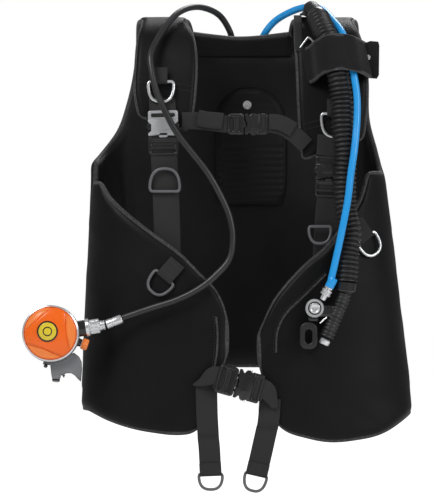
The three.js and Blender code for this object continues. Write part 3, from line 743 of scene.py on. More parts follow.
def ribbon(
    name: str, path: Sequence[Vector], width: float, thickness: float, across: Vector | Sequence[Vector],
    finish: Finish, taper: float = 1.0
) -> Piece:
    """A flat band with rounded edges and UVs in millimetres.

    Args:
        name: the piece's name.
        path: the centre line.
        width: band width in metres.
        thickness: band thickness in metres.
        across: the direction of its width, or one for each point.
        finish: its finish.
        taper: width at its end as a share of the width at its start.

    Returns:
        The new object.
    """
    profile = [
        (-0.5, 0.0), (-0.488, 0.36), (-0.465, 0.5), (-0.2, 0.5), (0.2, 0.5), (0.465, 0.5), (0.488, 0.36)
    ]
    profile += [(-a, -b) for a, b in profile]
    rings = []
    hints = [across] * len(path) if isinstance(across, Vector) else list(across)
    for place, (centre, direction, hint) in enumerate(zip(path, tangents(path), hints)):
        side = (hint - direction * hint.dot(direction)).normalized()
        normal = direction.cross(side)
        wide = width * (1 + (taper - 1) * place / (len(path) - 1))
        rings.append([centre + side * (a * wide) + normal * (b * thickness) for a, b in profile])
    made = skin(name, rings, finish)
    uv = made.data.uv_layers.new(name="lay")
    lengths = distances(path)
    for polygon in made.data.polygons:
        for loop in polygon.loop_indices:
            vertex = made.data.loops[loop].vertex_index
            ring, place = divmod(vertex, len(profile))
            uv.data[loop].uv = ((profile[place][0] + 0.5) * width / MM, lengths[ring] / MM)
    return fair(made, 50)


def turned(
    name: str, profile: Pairs, origin: Vector, axis: Vector, finish: Finish, segments: int = 48,
    ribs: int = 0, rib: float = 0.0
) -> Piece:
    """A turned piece from [radius, height] pairs in millimetres.

    Args:
        name: the piece's name.
        profile: outline from the axis to the axis, or a closed ring.
        origin: where height is 0.
        axis: the direction of height.
        finish: its finish.
        segments: points round the axis.
        ribs: number of grip ribs round it.
        rib: depth of the ribs in millimetres.

    Returns:
        The new object.
    """
    up = axis.normalized()
    side = up.orthogonal().normalized()
    other = up.cross(side)
    rings = []
    for radius, height in profile:
        ring = []
        for k in range(segments):
            turn = tau * k / segments
            r = max(
                0.0, radius - (rib * (0.5 + 0.5 * cos(ribs * turn)) if ribs and radius > 3 * rib else 0.0)
            )
            ring.append(origin + (side * cos(turn) + other * sin(turn)) * (r * MM) + up * (height * MM))
        rings.append(ring)
    return fair(skin(name, rings, finish, caps=False), 32)


def moulded(
    name: str, outline: Pairs, holes: Sequence[Pairs], low: float, high: float, bevel: float, finish: Finish
) -> Piece:
    """A plate with softened edges, drawn in millimetres in its own XY plane.

    Args:
        name: the piece's name.
        outline: corner points of the outside.
        holes: corner points of each hole.
        low: height of its lower face.
        high: height of its upper face.
        bevel: edge radius.
        finish: its finish.

    Returns:
        The new object.
    """
    curve = bpy.data.curves.new(name, "CURVE")
    curve.dimensions = "2D"
    curve.fill_mode = "BOTH"
    for loop in (outline, *holes):
        spline = curve.splines.new("POLY")
        spline.points.add(len(loop) - 1)
        for point, (x, y) in zip(spline.points, loop):
            point.co = (x * MM, y * MM, 0, 1)
        spline.use_cyclic_u = True
    curve.extrude = max(1e-5, (high - low) / 2 - bevel) * MM
    curve.bevel_depth = bevel * MM
    curve.bevel_resolution = 2
    curve.offset = -bevel * MM
    holder = bpy.data.objects.new(name, curve)
    bpy.context.scene.collection.objects.link(holder)
    bpy.context.view_layer.update()
    mesh = bpy.data.meshes.new_from_object(holder.evaluated_get(bpy.context.evaluated_depsgraph_get()))
    bpy.data.objects.remove(holder)
    bpy.data.curves.remove(curve)
    mesh.transform(Matrix.Translation((0, 0, (high + low) / 2 * MM)))
    mesh.materials.clear()
    mesh.materials.append(finish.material())
    made = bpy.data.objects.new(name, mesh)
    bpy.context.scene.collection.objects.link(made)
    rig.slot(made, finish.slot)
    return fair(made, 40)


def rounded(
    x: float, y: float, width: float, height: float, radius: float, steps: int = 5
) -> list[tuple[float, float]]:
    """Corner points of a rounded rectangle.

    Args:
        x: centre across.
        y: centre up.
        width: size across.
        height: size up.
        radius: corner radius.
        steps: spans in each corner.

    Returns:
        The points in order, in the units given.
    """
    out = []
    for corner, (sx, sy) in enumerate(((1, 1), (-1, 1), (-1, -1), (1, -1))):
        for i in range(steps + 1):
            turn = pi / 2 * (corner + i / steps)
            cx, cy = x + sx * (width / 2 - radius), y + sy * (height / 2 - radius)
            out.append((cx + radius * cos(turn), cy + radius * sin(turn)))
    return out


def placed(obj: Piece, origin: Vector, x_axis: Vector, y_axis: Vector) -> Piece:
    """Moves an object's mesh to a place and a direction.

    Args:
        obj: a mesh object drawn about its own origin.
        origin: where its origin goes.
        x_axis: where its X runs.
        y_axis: what its Y runs near.

    Returns:
        The same object.
    """
    x = x_axis.normalized()
    y = (y_axis - x * y_axis.dot(x)).normalized()
    turn = Matrix((x, y, x.cross(y))).transposed().to_4x4()
    obj.data.transform(Matrix.Translation(origin) @ turn)
    obj.data.update()
    return obj


def through(pairs: Pairs, t: float) -> float:
    """Value on a smooth line through pairs, held level past its ends.

    Args:
        pairs: places and values, with the places rising.
        t: the place.

    Returns:
        The value there.
    """
    t = min(max(t, pairs[0][0]), pairs[-1][0])
    i = 0
    while i < len(pairs) - 2 and t > pairs[i + 1][0]:
        i += 1

    def slope(k: int) -> float:
        """Slope of the line at one of its points."""
        before, after = pairs[max(k - 1, 0)], pairs[min(k + 1, len(pairs) - 1)]
        return (after[1] - before[1]) / (after[0] - before[0])

    width = pairs[i + 1][0] - pairs[i][0]
    s = (t - pairs[i][0]) / width
    rise = (3 - 2 * s) * s * s
    bend = slope(i) * s * (1 - s) ** 2 * width + slope(i + 1) * s * s * (s - 1) * width
    return pairs[i][1] * (1 - rise) + pairs[i + 1][1] * rise + bend


# ---- sewn panels ----


@dataclass
class Edge:
    """A line along the edge of a panel, with the panel's normals along it."""

    points: list[Vector]
    normals: list[Vector]
    inward: int = 1

    def even(self, step: float, smooth: int = 3) -> "Edge":
        """The same edge with even steps and eased corners.

        Args:
            step: distance between points in metres.
            smooth: rounds of easing.

        Returns:
            A new edge.
        """
        spots = even_spots(self.points, step)
        points = [self.points[i].lerp(self.points[i + 1], share) for i, share in spots]
        normals = [self.normals[i].lerp(self.normals[i + 1], share).normalized() for i, share in spots]
        for _ in range(smooth):
            for line in (points, normals):
                line[1:-1] = [(line[k - 1] + line[k] * 2 + line[k + 1]) / 4 for k in range(1, len(line) - 1)]
        return Edge(points, [n.normalized() for n in normals], self.inward)

    def inset(self, distance: float) -> "Edge":
        """The edge moved into its panel by a distance in metres."""
        ways = [d.cross(n).normalized() * self.inward for d, n in zip(tangents(self.points), self.normals)]
        return Edge([p + w * distance for p, w in zip(self.points, ways)], self.normals, self.inward)


@dataclass
class Panel:
    """A padded cloth panel over a surface, with rounded edges, slack and creases."""

    name: str
    surface: Surface
    thickness: float
    columns: int
    rows: int
    finish: Finish
    edge: float = 4.0
    roll: float = 16.0
    slack: float = 1.0
    relief: Callable[[float, float, Vector], float] = lambda u, v, p: 0.0
    seed: float = 0.0
    grid: list[list[Vector]] = field(default_factory=list)
    normals: list[list[Vector]] = field(default_factory=list)

    def lay_out(self) -> None:
        """Samples the surface and its normals."""
        step = 1e-3
        for r in range(self.rows + 1):
            v = r / self.rows
            line, out = [], []
            for c in range(self.columns + 1):
                u = c / self.columns
                line.append(self.surface(u, v))
                along = self.surface(u + step, v) - self.surface(u - step, v)
                up = self.surface(u, v + step) - self.surface(u, v - step)
                out.append(along.cross(up).normalized())
            self.grid.append(line)
            self.normals.append(out)

    def half(self, r: int, c: int) -> float:
        """Half thickness at a grid point, thinner near the edges.

        Args:
            r: its row.
            c: its column.

        Returns:
            The half thickness in metres.
        """
        row, column = self.grid[r], [line[c] for line in self.grid]
        across = min(self.reach(row, c), self.reach(row[::-1], self.columns - c))
        up = min(self.reach(column, r), self.reach(column[::-1], self.rows - r))
        near = 1.0
        for distance in (across, up):
            share = min(1.0, distance / (self.roll * MM))
            near *= sqrt(max(0.0, 1 - (1 - share) ** 2))
        return (self.edge + (self.thickness - self.edge) * near) / 2 * MM

    @staticmethod
    def reach(line: Sequence[Vector], index: int) -> float:
        """Length of a line from its start to an index."""
        return sum((line[i + 1] - line[i]).length for i in range(min(index, 6)))

    def crease(self, point: Vector, face: int) -> float:
        """Slow slack and finer creases of worn cloth, in metres.

        Args:
            point: a point of the middle surface.
            face: 1 on the outside, -1 on the inside.

        Returns:
            How far the cloth stands out there.
        """
        at = Vector((point.x, point.y, point.z + self.seed))
        slow = noise.noise(at * 13)
        fine = noise.noise(
            Vector((at.x * 34, at.y * 34, at.z * 15)) + Vector((face * 7.0, 3.0, self.seed * 9))
        )
        ridge = 1 - abs(noise.noise(Vector((at.x * 9 + at.z * 5, at.y * 9, at.z * 13)))) * 2
        return self.slack * MM * (0.9 * slow + 0.42 * fine + 0.5 * max(0.0, ridge) ** 3)

    def build(self) -> Piece:
        """Makes the panel.

        Returns:
            The panel's object, not yet on its body.
        """
        if not self.grid:
            self.lay_out()
        sheets = []
        for face in (1, -1):
            for r in range(self.rows + 1):
                for c in range(self.columns + 1):
                    p, n = self.grid[r][c], self.normals[r][c]
                    half = self.half(r, c)
                    swell = half / (self.thickness / 2 * MM)
                    raised = self.relief(c / self.columns, r / self.rows, p) * (face > 0)
                    lift = half + (self.crease(p, face) + raised) * swell**2
                    sheets.append(p + n * (face * lift))
        wide, total = self.columns + 1, (self.columns + 1) * (self.rows + 1)
        faces = []
        for r in range(self.rows):
            for c in range(self.columns):
                a = r * wide + c
                faces.append((a, a + 1, a + wide + 1, a + wide))
                faces.append((total + a, total + a + wide, total + a + wide + 1, total + a + 1))
        rim = list(range(wide)) + [r * wide + self.columns for r in range(1, self.rows + 1)]
        rim += [self.rows * wide + c for c in range(self.columns - 1, -1, -1)]
        rim += [r * wide for r in range(self.rows - 1, 0, -1)]
        for i, a in enumerate(rim):
            b = rim[(i + 1) % len(rim)]
            faces.append((a, total + a, total + b, b))
        return fair(object_of(self.name, sheets, faces, self.finish), 80)

    def border(self, *sides: str, inward: int = 1) -> Edge:
        """The line along one or more sides, in order.

        Args:
            sides: among bottom, right, top and left, each run anticlockwise unless it ends in "-".
            inward: 1 or -1, the way into the panel.

        Returns:
            The edge.
        """
        points, normals = [], []
        last_row, last_column = self.rows, self.columns
        runs = {
            "bottom": [(0, c) for c in range(last_column + 1)],
            "right": [(r, last_column) for r in range(last_row + 1)],
            "top": [(last_row, c) for c in range(last_column, -1, -1)],
            "left": [(r, 0) for r in range(last_row, -1, -1)],
        }
        for side in sides:
            run = runs[side.rstrip("-")]
            for r, c in reversed(run) if side.endswith("-") else run:
                points.append(self.grid[r][c])
                normals.append(self.normals[r][c])
        return Edge(points, normals, inward)

    def facing(self, edge: Edge, parts: int = 5) -> Edge:
        """Sets the sign that points from an edge into this panel.

        Args:
            edge: an edge of this panel.
            parts: the sign is taken where the first of this many equal parts ends.

        Returns:
            The same edge.
        """
        i = len(edge.points) // parts
        way = tangents(edge.points)[i].cross(edge.normals[i])
        centre = self.grid[self.rows // 2][self.columns // 2]
        edge.inward = 1 if way.dot(centre - edge.points[i]) > 0 else -1
        return edge


@dataclass(frozen=True)
class Cushion:
    """Lets a closed shell settle under air pressure with its sewn edges held."""

    pressure: float = 4.0
    frames: int = 20
    most: float = 2.6
    held_rows: int = 2
    slack_hold: float = 0.05
    quality: int = 4
    mass: float = 0.25
    stiffness: float = 25.0
    bending: float = 2.0
    damping: float = 4.0

    def settle(self, shell: Piece, panel: "Panel") -> Piece:
        """Runs the cloth simulation, limits how far it moved, and smooths the result once.

        Args:
            shell: the panel's closed mesh, in its own vertex order.
            panel: the panel it was built from.

        Returns:
            The same object with its settled mesh.
        """
        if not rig.quick():
            self.simulate(shell, panel)
        smooth = shell.modifiers.new("smooth", "SUBSURF")
        smooth.levels = smooth.render_levels = 1
        self.bake(shell)
        return shell

    def simulate(self, shell: Piece, panel: "Panel") -> None:
        """Moves the mesh to where air pressure puts it, within a limit.

        Args:
            shell: the panel's closed mesh.
            panel: the panel it was built from.
        """
        wide, high = panel.columns + 1, panel.rows + 1
        held = shell.vertex_groups.new(name="held")
        for vertex in shell.data.vertices:
            row, column = divmod(vertex.index % (wide * high), wide)
            rim = min(row, panel.rows - row, column, panel.columns - column)
            held.add([vertex.index], 1.0 if rim < self.held_rows else self.slack_hold, "REPLACE")
        start = [vertex.co.copy() for vertex in shell.data.vertices]
        cloth = shell.modifiers.new("cloth", "CLOTH")
        cloth.settings.quality = self.quality
        cloth.settings.mass = self.mass
        cloth.settings.tension_stiffness = cloth.settings.compression_stiffness = self.stiffness
        cloth.settings.bending_stiffness = self.bending
        cloth.settings.air_damping = self.damping
        cloth.settings.use_pressure = True
        cloth.settings.uniform_pressure_force = self.pressure
        cloth.settings.vertex_group_mass = "held"
        cloth.settings.effector_weights.gravity = 0
        cloth.collision_settings.use_collision = False
        scene = bpy.context.scene
        for number in range(1, self.frames + 1):
            scene.frame_set(number)
        self.bake(shell)
        for vertex, place in zip(shell.data.vertices, start):
            moved = vertex.co - place
            limit = self.most * MM
            vertex.co = place + moved * (min(1.0, limit / moved.length) if moved.length > 0 else 1.0)
        scene.frame_set(1)
        LOG.info("%s settled", shell.name)

    @staticmethod
    def bake(shell: Piece) -> None:
        """Replaces the mesh by its modified form.

        Args:
            shell: an object with modifiers.
        """
        bpy.context.view_layer.update()
        graph = bpy.context.evaluated_depsgraph_get()
        made = bpy.data.meshes.new_from_object(shell.evaluated_get(graph))
        shell.modifiers.clear()
        shell.data = made
        made.name = shell.name


CUSHION = Cushion()


def cushioned(panel: Panel, fill: float, node: str) -> None:
    """Makes a panel, lets it settle and puts it in place of its CAD node.

    Args:
        panel: the panel to make.
        fill: how full it is, from 0 to 1.
        node: the CAD node it stands for.
    """
    shell = CUSHION.settle(panel.build(), panel)
    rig.padded(shell, fill)
    keep(shell, node)


def bound(name: str, edge: Edge, width: float, thickness: float, finish: Finish = TAPE) -> Piece:
    """Binding tape folded over an edge.

    Args:
        name: the piece's name.
        edge: the edge it covers.
        width: how far it reaches into the panel, in millimetres.
        thickness: thickness over both faces, in millimetres.
        finish: the tape's finish.

    Returns:
        The tape.
    """
    line = edge.even(5 * MM)
    rings = []
    for point, normal, direction in zip(line.points, line.normals, tangents(line.points)):
        way = direction.cross(normal).normalized() * line.inward
        centre = point + way * ((width / 2 - 2) * MM)
        ring = []
        for k in range(16):
            turn = tau * k / 16
            a = powered(cos(turn), 0.55) * width / 2
            b = powered(sin(turn), 0.7) * thickness / 2
            ring.append(centre + way * (a * MM) + normal * (b * MM))
        rings.append(ring)
    return fair(skin(name, rings, finish), 70)


def stitched(
    name: str, edge: Edge, lift: float, pitch: float = 4.2, finish: Finish = THREAD, both: bool = True
) -> Piece:
    """A row of thread stitches along a line.

    Args:
        name: the piece's name.
        edge: the line they follow.
        lift: height of the thread above the line, in millimetres.
        pitch: distance from stitch to stitch, in millimetres.
        finish: the thread's finish.
        both: True sews both faces.

    Returns:
        All the stitches as one object.
    """
    line = edge.even(pitch * MM)
    verts, faces = [], []
    for point, normal, direction in zip(line.points, line.normals, tangents(line.points)):
        side = direction.cross(normal).normalized()
        for face in (1, -1) if both else (1,):
            centre = point + normal * (face * lift * MM)
            base = len(verts)
            half = direction * (pitch * 0.36 * MM)
            verts += [centre - half, centre + half, centre - side * (0.5 * MM), centre + side * (0.5 * MM)]
            verts += [centre + normal * (face * 0.45 * MM), centre - normal * (face * 0.45 * MM)]
            for a, b in ((2, 4), (4, 3), (3, 5), (5, 2)):
                faces += [(base, base + a, base + b), (base + 1, base + b, base + a)]
    return fair(object_of(name, verts, faces, finish), 80)


@dataclass
class Torso:
    """The body shape that the vest is sewn to, a superellipse in plan that flares to the hem."""

    middle_y: float = -130.0
    back_depth: float = 105.0
    front_depth: float = 92.0
    roundness: float = 0.8
    armpit_z: float = -14.0
    back_top: float = 163.0
    lean_start: float = 60.0
    lean: float = 22.0
    half_widths: dict[Side, float] = field(default_factory=lambda: {Side.LEFT: 206.0, Side.RIGHT: 196.0})
    flares: dict[Side, float] = field(default_factory=lambda: {Side.LEFT: 0.046, Side.RIGHT: 0.118})

    def half_width(self, side: Side, z: float) -> float:
        """Half the torso's width on one side at a height, in millimetres."""
        return self.half_widths[side] + max(0.0, self.armpit_z - z) * self.flares[side]

    def leaning(self, z: float) -> float:
        """How far the back leans forward at a height, in millimetres."""
        rise = max(0.0, z - self.lean_start) / (self.back_top - self.lean_start)
        return self.lean * rise * rise

    def point(self, side: Side, angle: float, z: float) -> Vector:
        """A point on the torso.

        Args:
            side: the side it is on.
            angle: 0 at the middle of the back, pi at the middle of the front.
            z: height in millimetres.

        Returns:
            The point in metres.
        """
        sine, cosine = sin(angle), cos(angle)
        x = side.sign * self.half_width(side, z) * powered(sine, self.roundness)
        depth = self.back_depth if cosine > 0 else self.front_depth
        y = self.middle_y + powered(cosine, self.roundness) * depth - self.leaning(z)
        return mm(x, y, z)

    def angle_at(self, share: float) -> float:
        """The angle from the middle at which the torso reaches a share of its half width."""
        return asin(min(1.0, share) ** (1 / self.roundness))

    def back_point(self, x: float, z: float) -> Vector:
        """The point of the back at x and z, in millimetres."""
        side = Side.LEFT if x < 0 else Side.RIGHT
        return self.point(side, self.angle_at(abs(x) / self.half_width(side, z)), z)

    def front_frame(self, x: float, z: float, lift: float) -> tuple[Vector, Vector]:
        """A point a lift in front of the torso at x and z, and the way out of it.

        Args:
            x: place across, in millimetres.
            z: height, in millimetres.
            lift: distance out, in millimetres.

        Returns:
            The point in metres and the unit direction.
        """
        side = Side.LEFT if x < 0 else Side.RIGHT
        angle = pi - self.angle_at(abs(x) / self.half_width(side, z))
        around = self.point(side, angle + 0.01, z) - self.point(side, angle - 0.01, z)
        up = self.point(side, angle, z + 1) - self.point(side, angle, z - 1)
        out = around.cross(up).normalized()
        if out.y > 0:
            out.negate()
        return self.point(side, angle, z) + out * (lift * MM), out


TORSO = Torso()


@dataclass
class Lobe:
    """One front half of the vest, bound along its top, inner edge and hem."""

    side: Side
    top: Pairs
    hem: Pairs
    inner: float
    thickness: float = 13.0
    seam_gap: float = 3.0
    seed: float = 0.0

    def surface(self, u: float, v: float) -> Vector:
        """The lobe's middle surface from its side seam (u = 0) to its inner edge and from hem to top.

        Args:
            u: share from side seam to inner edge.
            v: share from hem to top.

        Returns:
            The point in metres.
        """
        nominal = TORSO.half_width(self.side, -200)
        inner = pi - TORSO.angle_at(self.inner / nominal)
        outer = pi / 2 + (self.seam_gap / 2 / TORSO.front_depth) ** 1.25
        angle = outer + (inner - outer) * u
        out = nominal * abs(sin(angle)) ** TORSO.roundness
        top, hem = through(self.top, out), through(self.hem, out)
        return TORSO.point(self.side, angle, hem + (top - hem) * v)

    def build(self) -> None:
        """Makes the panel, its binding, its side seam and its stitching."""
        name = f"{self.side.value}_lobe"
        panel = Panel(
            f"{name}_shell", self.surface, self.thickness, 60, 52, NYLON, slack=1.9, seed=self.seed, roll=13
        )
        cushioned(panel, 0.35, name)
        edge = panel.facing(panel.border("top-", "right-", "bottom-"))
        keep(bound(f"{name}_binding", edge, 10, 7.2))
        keep(stitched(f"{name}_binding_stitches", edge.even(SEAM_STEP).inset(7 * MM), 3.8))
        hem = panel.border("bottom-", inward=edge.inward).even(5 * MM)
        keep(stitched(f"{name}_hem_stitches", hem.inset(15 * MM), 4.6))
        seam = panel.facing(panel.border("left"), 2)
        keep(bound(f"{name}_side_tape", seam, 9, 5.6, NYLON))
        self.piping()

    def piping(self) -> None:
        """A sewn line that follows the inner edge a little way in."""
        if self.side is Side.RIGHT:
            spots = [(116, -153), (83, -186), (60, -209), (49, -232), (47, -262)]
        else:
            spots = [(-36, -212), (-34, -236), (-35, -262), (-39, -286)]
        frames = [TORSO.front_frame(x, z, self.thickness / 2 + 1.6) for x, z in spots]
        line = catmull([point for point, _ in frames], 8)
        normals = [frames[min(len(frames) - 1, i // 8)][1] for i in range(len(line))]
        edge = Edge(line, normals)
        name = f"{self.side.value}_lobe_piping"
        keep(tube(name, resampled(line, 4 * MM), lambda s: 1.5 * MM, TAPE, 10))
        keep(stitched(f"{name}_stitches", edge.inset(3.5 * MM), 0.6, both=False))


def sewn_lobes() -> list[Lobe]:
    """The left and right lobes with their outlines in millimetres.

    Returns:
        The left lobe, then the right.
    """
    left_top = [
        (20, -222), (24, -203), (38, -175), (59, -154), (87, -126), (136, -91), (164, -70), (192, -45),
        (206, -24)
    ]
    left_hem = [
        (20, -262), (32, -292), (46, -345), (63, -371), (88, -376), (111, -374), (146, -368), (180, -357),
        (208, -343)
    ]
    right_top = [
        (22, -236), (29, -224), (41, -197), (60, -171), (92, -139), (123, -115), (170, -62), (183, -43),
        (196, -10)
    ]
    right_hem = [
        (22, -272), (28, -296), (40, -350), (55, -370), (78, -379), (109, -386), (141, -384), (181, -374),
        (230, -340)
    ]
    return [Lobe(Side.LEFT, left_top, left_hem, 20.0), Lobe(Side.RIGHT, right_top, right_hem, 22.0, seed=4.0)]


@dataclass
class BackShell:
    """The back panel, its inside pad with a rivet, and the neck collar."""

    low: float = -285.0
    side_drop: float = 45.0
    thickness: float = 16.0
    pad_x: float = 13.0
    pad_thickness: float = 8.0
    pad_gap: float = 2.5
    armholes: dict[Side, Pairs] = field(default_factory=lambda: {
        Side.LEFT: [(-14, 206), (7, 205), (24, 193), (52, 174), (91, 161), (126, 153), (163, 148)],
        Side.RIGHT: [(-14, 196), (17, 191), (67, 179), (122, 178), (163, 173)],
    })
    pad_outline: Pairs = ((-52, 40), (-40, 46), (0, 48), (60, 47), (85, 42), (100, 30), (109, 14))
    neckline: Pairs = ((-62, 190), (-35, 186), (-8, 183), (18, 184), (41, 187), (62, 190))

    def surface(self, u: float, v: float) -> Vector:
        """The back's middle surface, from its left side to its right and from hem to shoulders.

        Args:
            u: share from left to right.
            v: share from hem to shoulders.

        Returns:
            The point in metres.
        """
        across = 2 * u - 1
        side = Side.LEFT if across < 0 else Side.RIGHT
        low = self.low - self.side_drop * abs(across) ** 3
        z = low + (TORSO.back_top - low) * v
        share = 1.0 if z < TORSO.armpit_z else through(self.armholes[side], z) / TORSO.half_width(side, z)
        reach = min(TORSO.angle_at(share), pi / 2 - (1.5 / TORSO.back_depth) ** 1.25)
        return TORSO.point(side, abs(across) * reach, z)

    def collar_surface(self, u: float, v: float) -> Vector:
        """The collar's middle surface.

        Args:
            u: share from left to right.
            v: share from bottom to top.

        Returns:
            The point in metres.
        """
        x = self.neckline[0][0] + (self.neckline[-1][0] - self.neckline[0][0]) * u
        low = TORSO.back_top - 7
        z = low + (through(self.neckline, x) - low) * v
        point = TORSO.back_point(x * 1.17, z)
        point.y -= 4 * MM * max(0.0, 1 - 2 * v)
        return point

    def pad_surface(self, u: float, v: float) -> Vector:
        """The inside pad's middle surface.

        Args:
            u: share from left to right.
            v: share from bottom to top.

        Returns:
            The point in metres.
        """
        low, high = self.pad_outline[0][0], self.pad_outline[-1][0]
        z = low + (high - low) * v
        x = self.pad_x + (2 * u - 1) * through(self.pad_outline, z)
        point = TORSO.back_point(x, z)
        point.y -= (self.thickness / 2 + self.pad_thickness / 2 + self.pad_gap) * MM
        return point

    def pad_relief(self, u: float, v: float, point: Vector) -> float:
        """Quilted ribs low on the pad, and the stepped plate above them.

        Args:
            u: share across.
            v: share up. Not used.
            point: the point there.

        Returns:
            Extra height in metres.
        """
        z = point.z / MM
        rim = 0.8 * MM if min(u, 1 - u) > 0.06 else 0.0
        if z < 31:
            return (1.5 * abs(sin(pi * z / 9.0)) - 0.8) * MM + rim
        step = sum(1.0 for level in (79, 89, 99) if z < level) * 0.45 * MM
        return rim + step

    def build(self) -> None:
        """Makes the back, the collar, the pad and the rivet."""
        back = Panel("back_shell", self.surface, self.thickness, 66, 58, LINING, slack=1.5, seed=8.0, roll=16)
        cushioned(back, 0.4, "back_panel")
        for name, side in (("left", "left"), ("right", "right"), ("hem", "bottom")):
            edge = back.facing(back.border(side), 2)
            keep(bound(f"back_{name}_binding", edge, 10, 7.0))
            keep(stitched(f"back_{name}_stitches", edge.even(SEAM_STEP).inset(7 * MM), 4.2))
        collar = Panel("collar_shell", self.collar_surface, 12.0, 40, 14, NYLON, slack=0.7, roll=9, seed=2.0)
        cushioned(collar, 0.5, "neck_collar")
        keep(bound("collar_binding", collar.facing(collar.border("top"), 2), 9, 7.4))
        pad = Panel(
            "back_pad_quilt", self.pad_surface, self.pad_thickness, 46, 90, LINING, slack=0.5, roll=7, edge=3
        )
        pad.relief = self.pad_relief
        quilt = pad.build()
        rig.padded(quilt, 0.6)
        keep(quilt, "back_pad")
        rim = pad.facing(pad.border("right", "top", "left", "bottom"))
        keep(bound("back_pad_piping", rim, 4, 4.2, LINING))
        low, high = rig.box("back_rivet")
        centre = (low + high) / 2
        head = [(0, 0), (6.4, 0), (6.4, 1.1), (5.6, 2.0), (3.9, 2.2), (3.5, 1.5), (1.2, 1.5), (0, 1.9)]
        start = Vector((centre.x, high.y, centre.z))
        keep(turned("back_rivet_head", head, start, FORWARD, STEEL, 32), "back_rivet")


@dataclass
class ShoulderPanel:
    """A padded panel from the back over the shoulder to its strap."""

    side: Side
    inner: Pairs
    outer: Pairs
    end_inner: float
    end_outer: float
    seam_at: float
    thickness: float = 12.0
    length: float = 440.0
    lap: float = 0.022
    arch: tuple[tuple[float, float], ...] = (
        (-47, 167), (-63, 193), (-105, 205), (-145, 188), (-171, 150), (-185, 100), (-191, 55), (-195, 5),
    )
    line: list[Vector] = field(default_factory=list)

    def along(self, share: float) -> Vector:
        """The arch at a share of its length.

        Args:
            share: 0 at the back, 1 at the far end.

        Returns:
            The point in metres.
        """
        if not self.line:
            self.line = resampled(catmull(points_mm(*[(0, y, z) for y, z in self.arch]), 16), 2 * MM)
        at = min(max(share, 0.0), 1.0) * (len(self.line) - 1)
        low = min(int(at), len(self.line) - 2)
        return self.line[low].lerp(self.line[low + 1], at - low)

    def point(self, share: float, along: float) -> Vector:
        """The panel's middle surface at a share of its width from the neck and of its arch.

        Args:
            share: share of its width from the neck.
            along: share of its arch.

        Returns:
            The point in metres.
        """
        clamped = min(max(along, 0.0), 1.0)
        at = self.along(clamped)
        inner, outer = through(self.inner, clamped), through(self.outer, clamped)
        out = inner + (outer - inner) * share
        wrap = TORSO.back_point(self.side.sign * out, TORSO.back_top).y
        fade = max(0.0, 1 - clamped / 0.3)
        drop = min(0.0, along) * self.length * MM
        return Vector((self.side.sign * out * MM, at.y + fade * (wrap - self.arch[0][0] * MM), at.z + drop))

    def surface(self, u: float, v: float) -> Vector:
        """The panel between the neck edge and the armhole, from the back to the strap."""
        end = self.end_inner + (self.end_outer - self.end_inner) * u
        return self.point(u, v * (end + self.lap) - self.lap)

    def build(self) -> None:
        """Makes the panel with its bindings, cross seam and stitching."""
        name = f"{self.side.value}_shoulder"
        panel = Panel(
            f"{name}_shell", self.surface, self.thickness, 26, 72, NYLON, slack=0.8, roll=7, seed=self.seam_at
        )
        cushioned(panel, 0.5, f"{name}_panel")
        edge = panel.facing(panel.border("right", "top", "left"))
        keep(bound(f"{name}_binding", edge, 10, 7.0))
        keep(stitched(f"{name}_stitches", edge.even(SEAM_STEP).inset(8 * MM), 4.4))
        row = round(self.seam_at * panel.rows)
        for offset in (0, 2):
            points, normals = panel.grid[row + offset], panel.normals[row + offset]
            flip = 1 if normals[len(normals) // 2].y < 0 else -1
            line = Edge(points[2:-2], [n * flip for n in normals[2:-2]])
            keep(stitched(f"{name}_seam_{offset}", line, self.thickness / 2 + 0.9, both=False))


def shoulder_panels() -> list[ShoulderPanel]:
    """Both shoulder panels with their edges in millimetres from the middle.

    Returns:
        The left panel, then the right.
    """
    left = ShoulderPanel(
        Side.LEFT,
        [(0, 66), (0.17, 74), (0.3, 79), (0.42, 68), (0.55, 64), (0.7, 66), (0.87, 73)],
        [(0, 148), (0.17, 147), (0.3, 140), (0.42, 146), (0.55, 149), (0.7, 150), (0.87, 138)],
        0.865, 0.8, 0.78,
    )
    right = ShoulderPanel(
        Side.RIGHT,
        [(0, 66), (0.17, 71), (0.3, 75), (0.42, 75), (0.55, 77), (0.8, 80), (1, 85)],
        [(0, 165), (0.17, 163), (0.3, 157), (0.42, 166), (0.55, 174), (0.75, 175), (1, 165)],
        0.995, 0.9, 0.85,
    )
    return [left, right]


# ---- webbing, rings and buckles ----


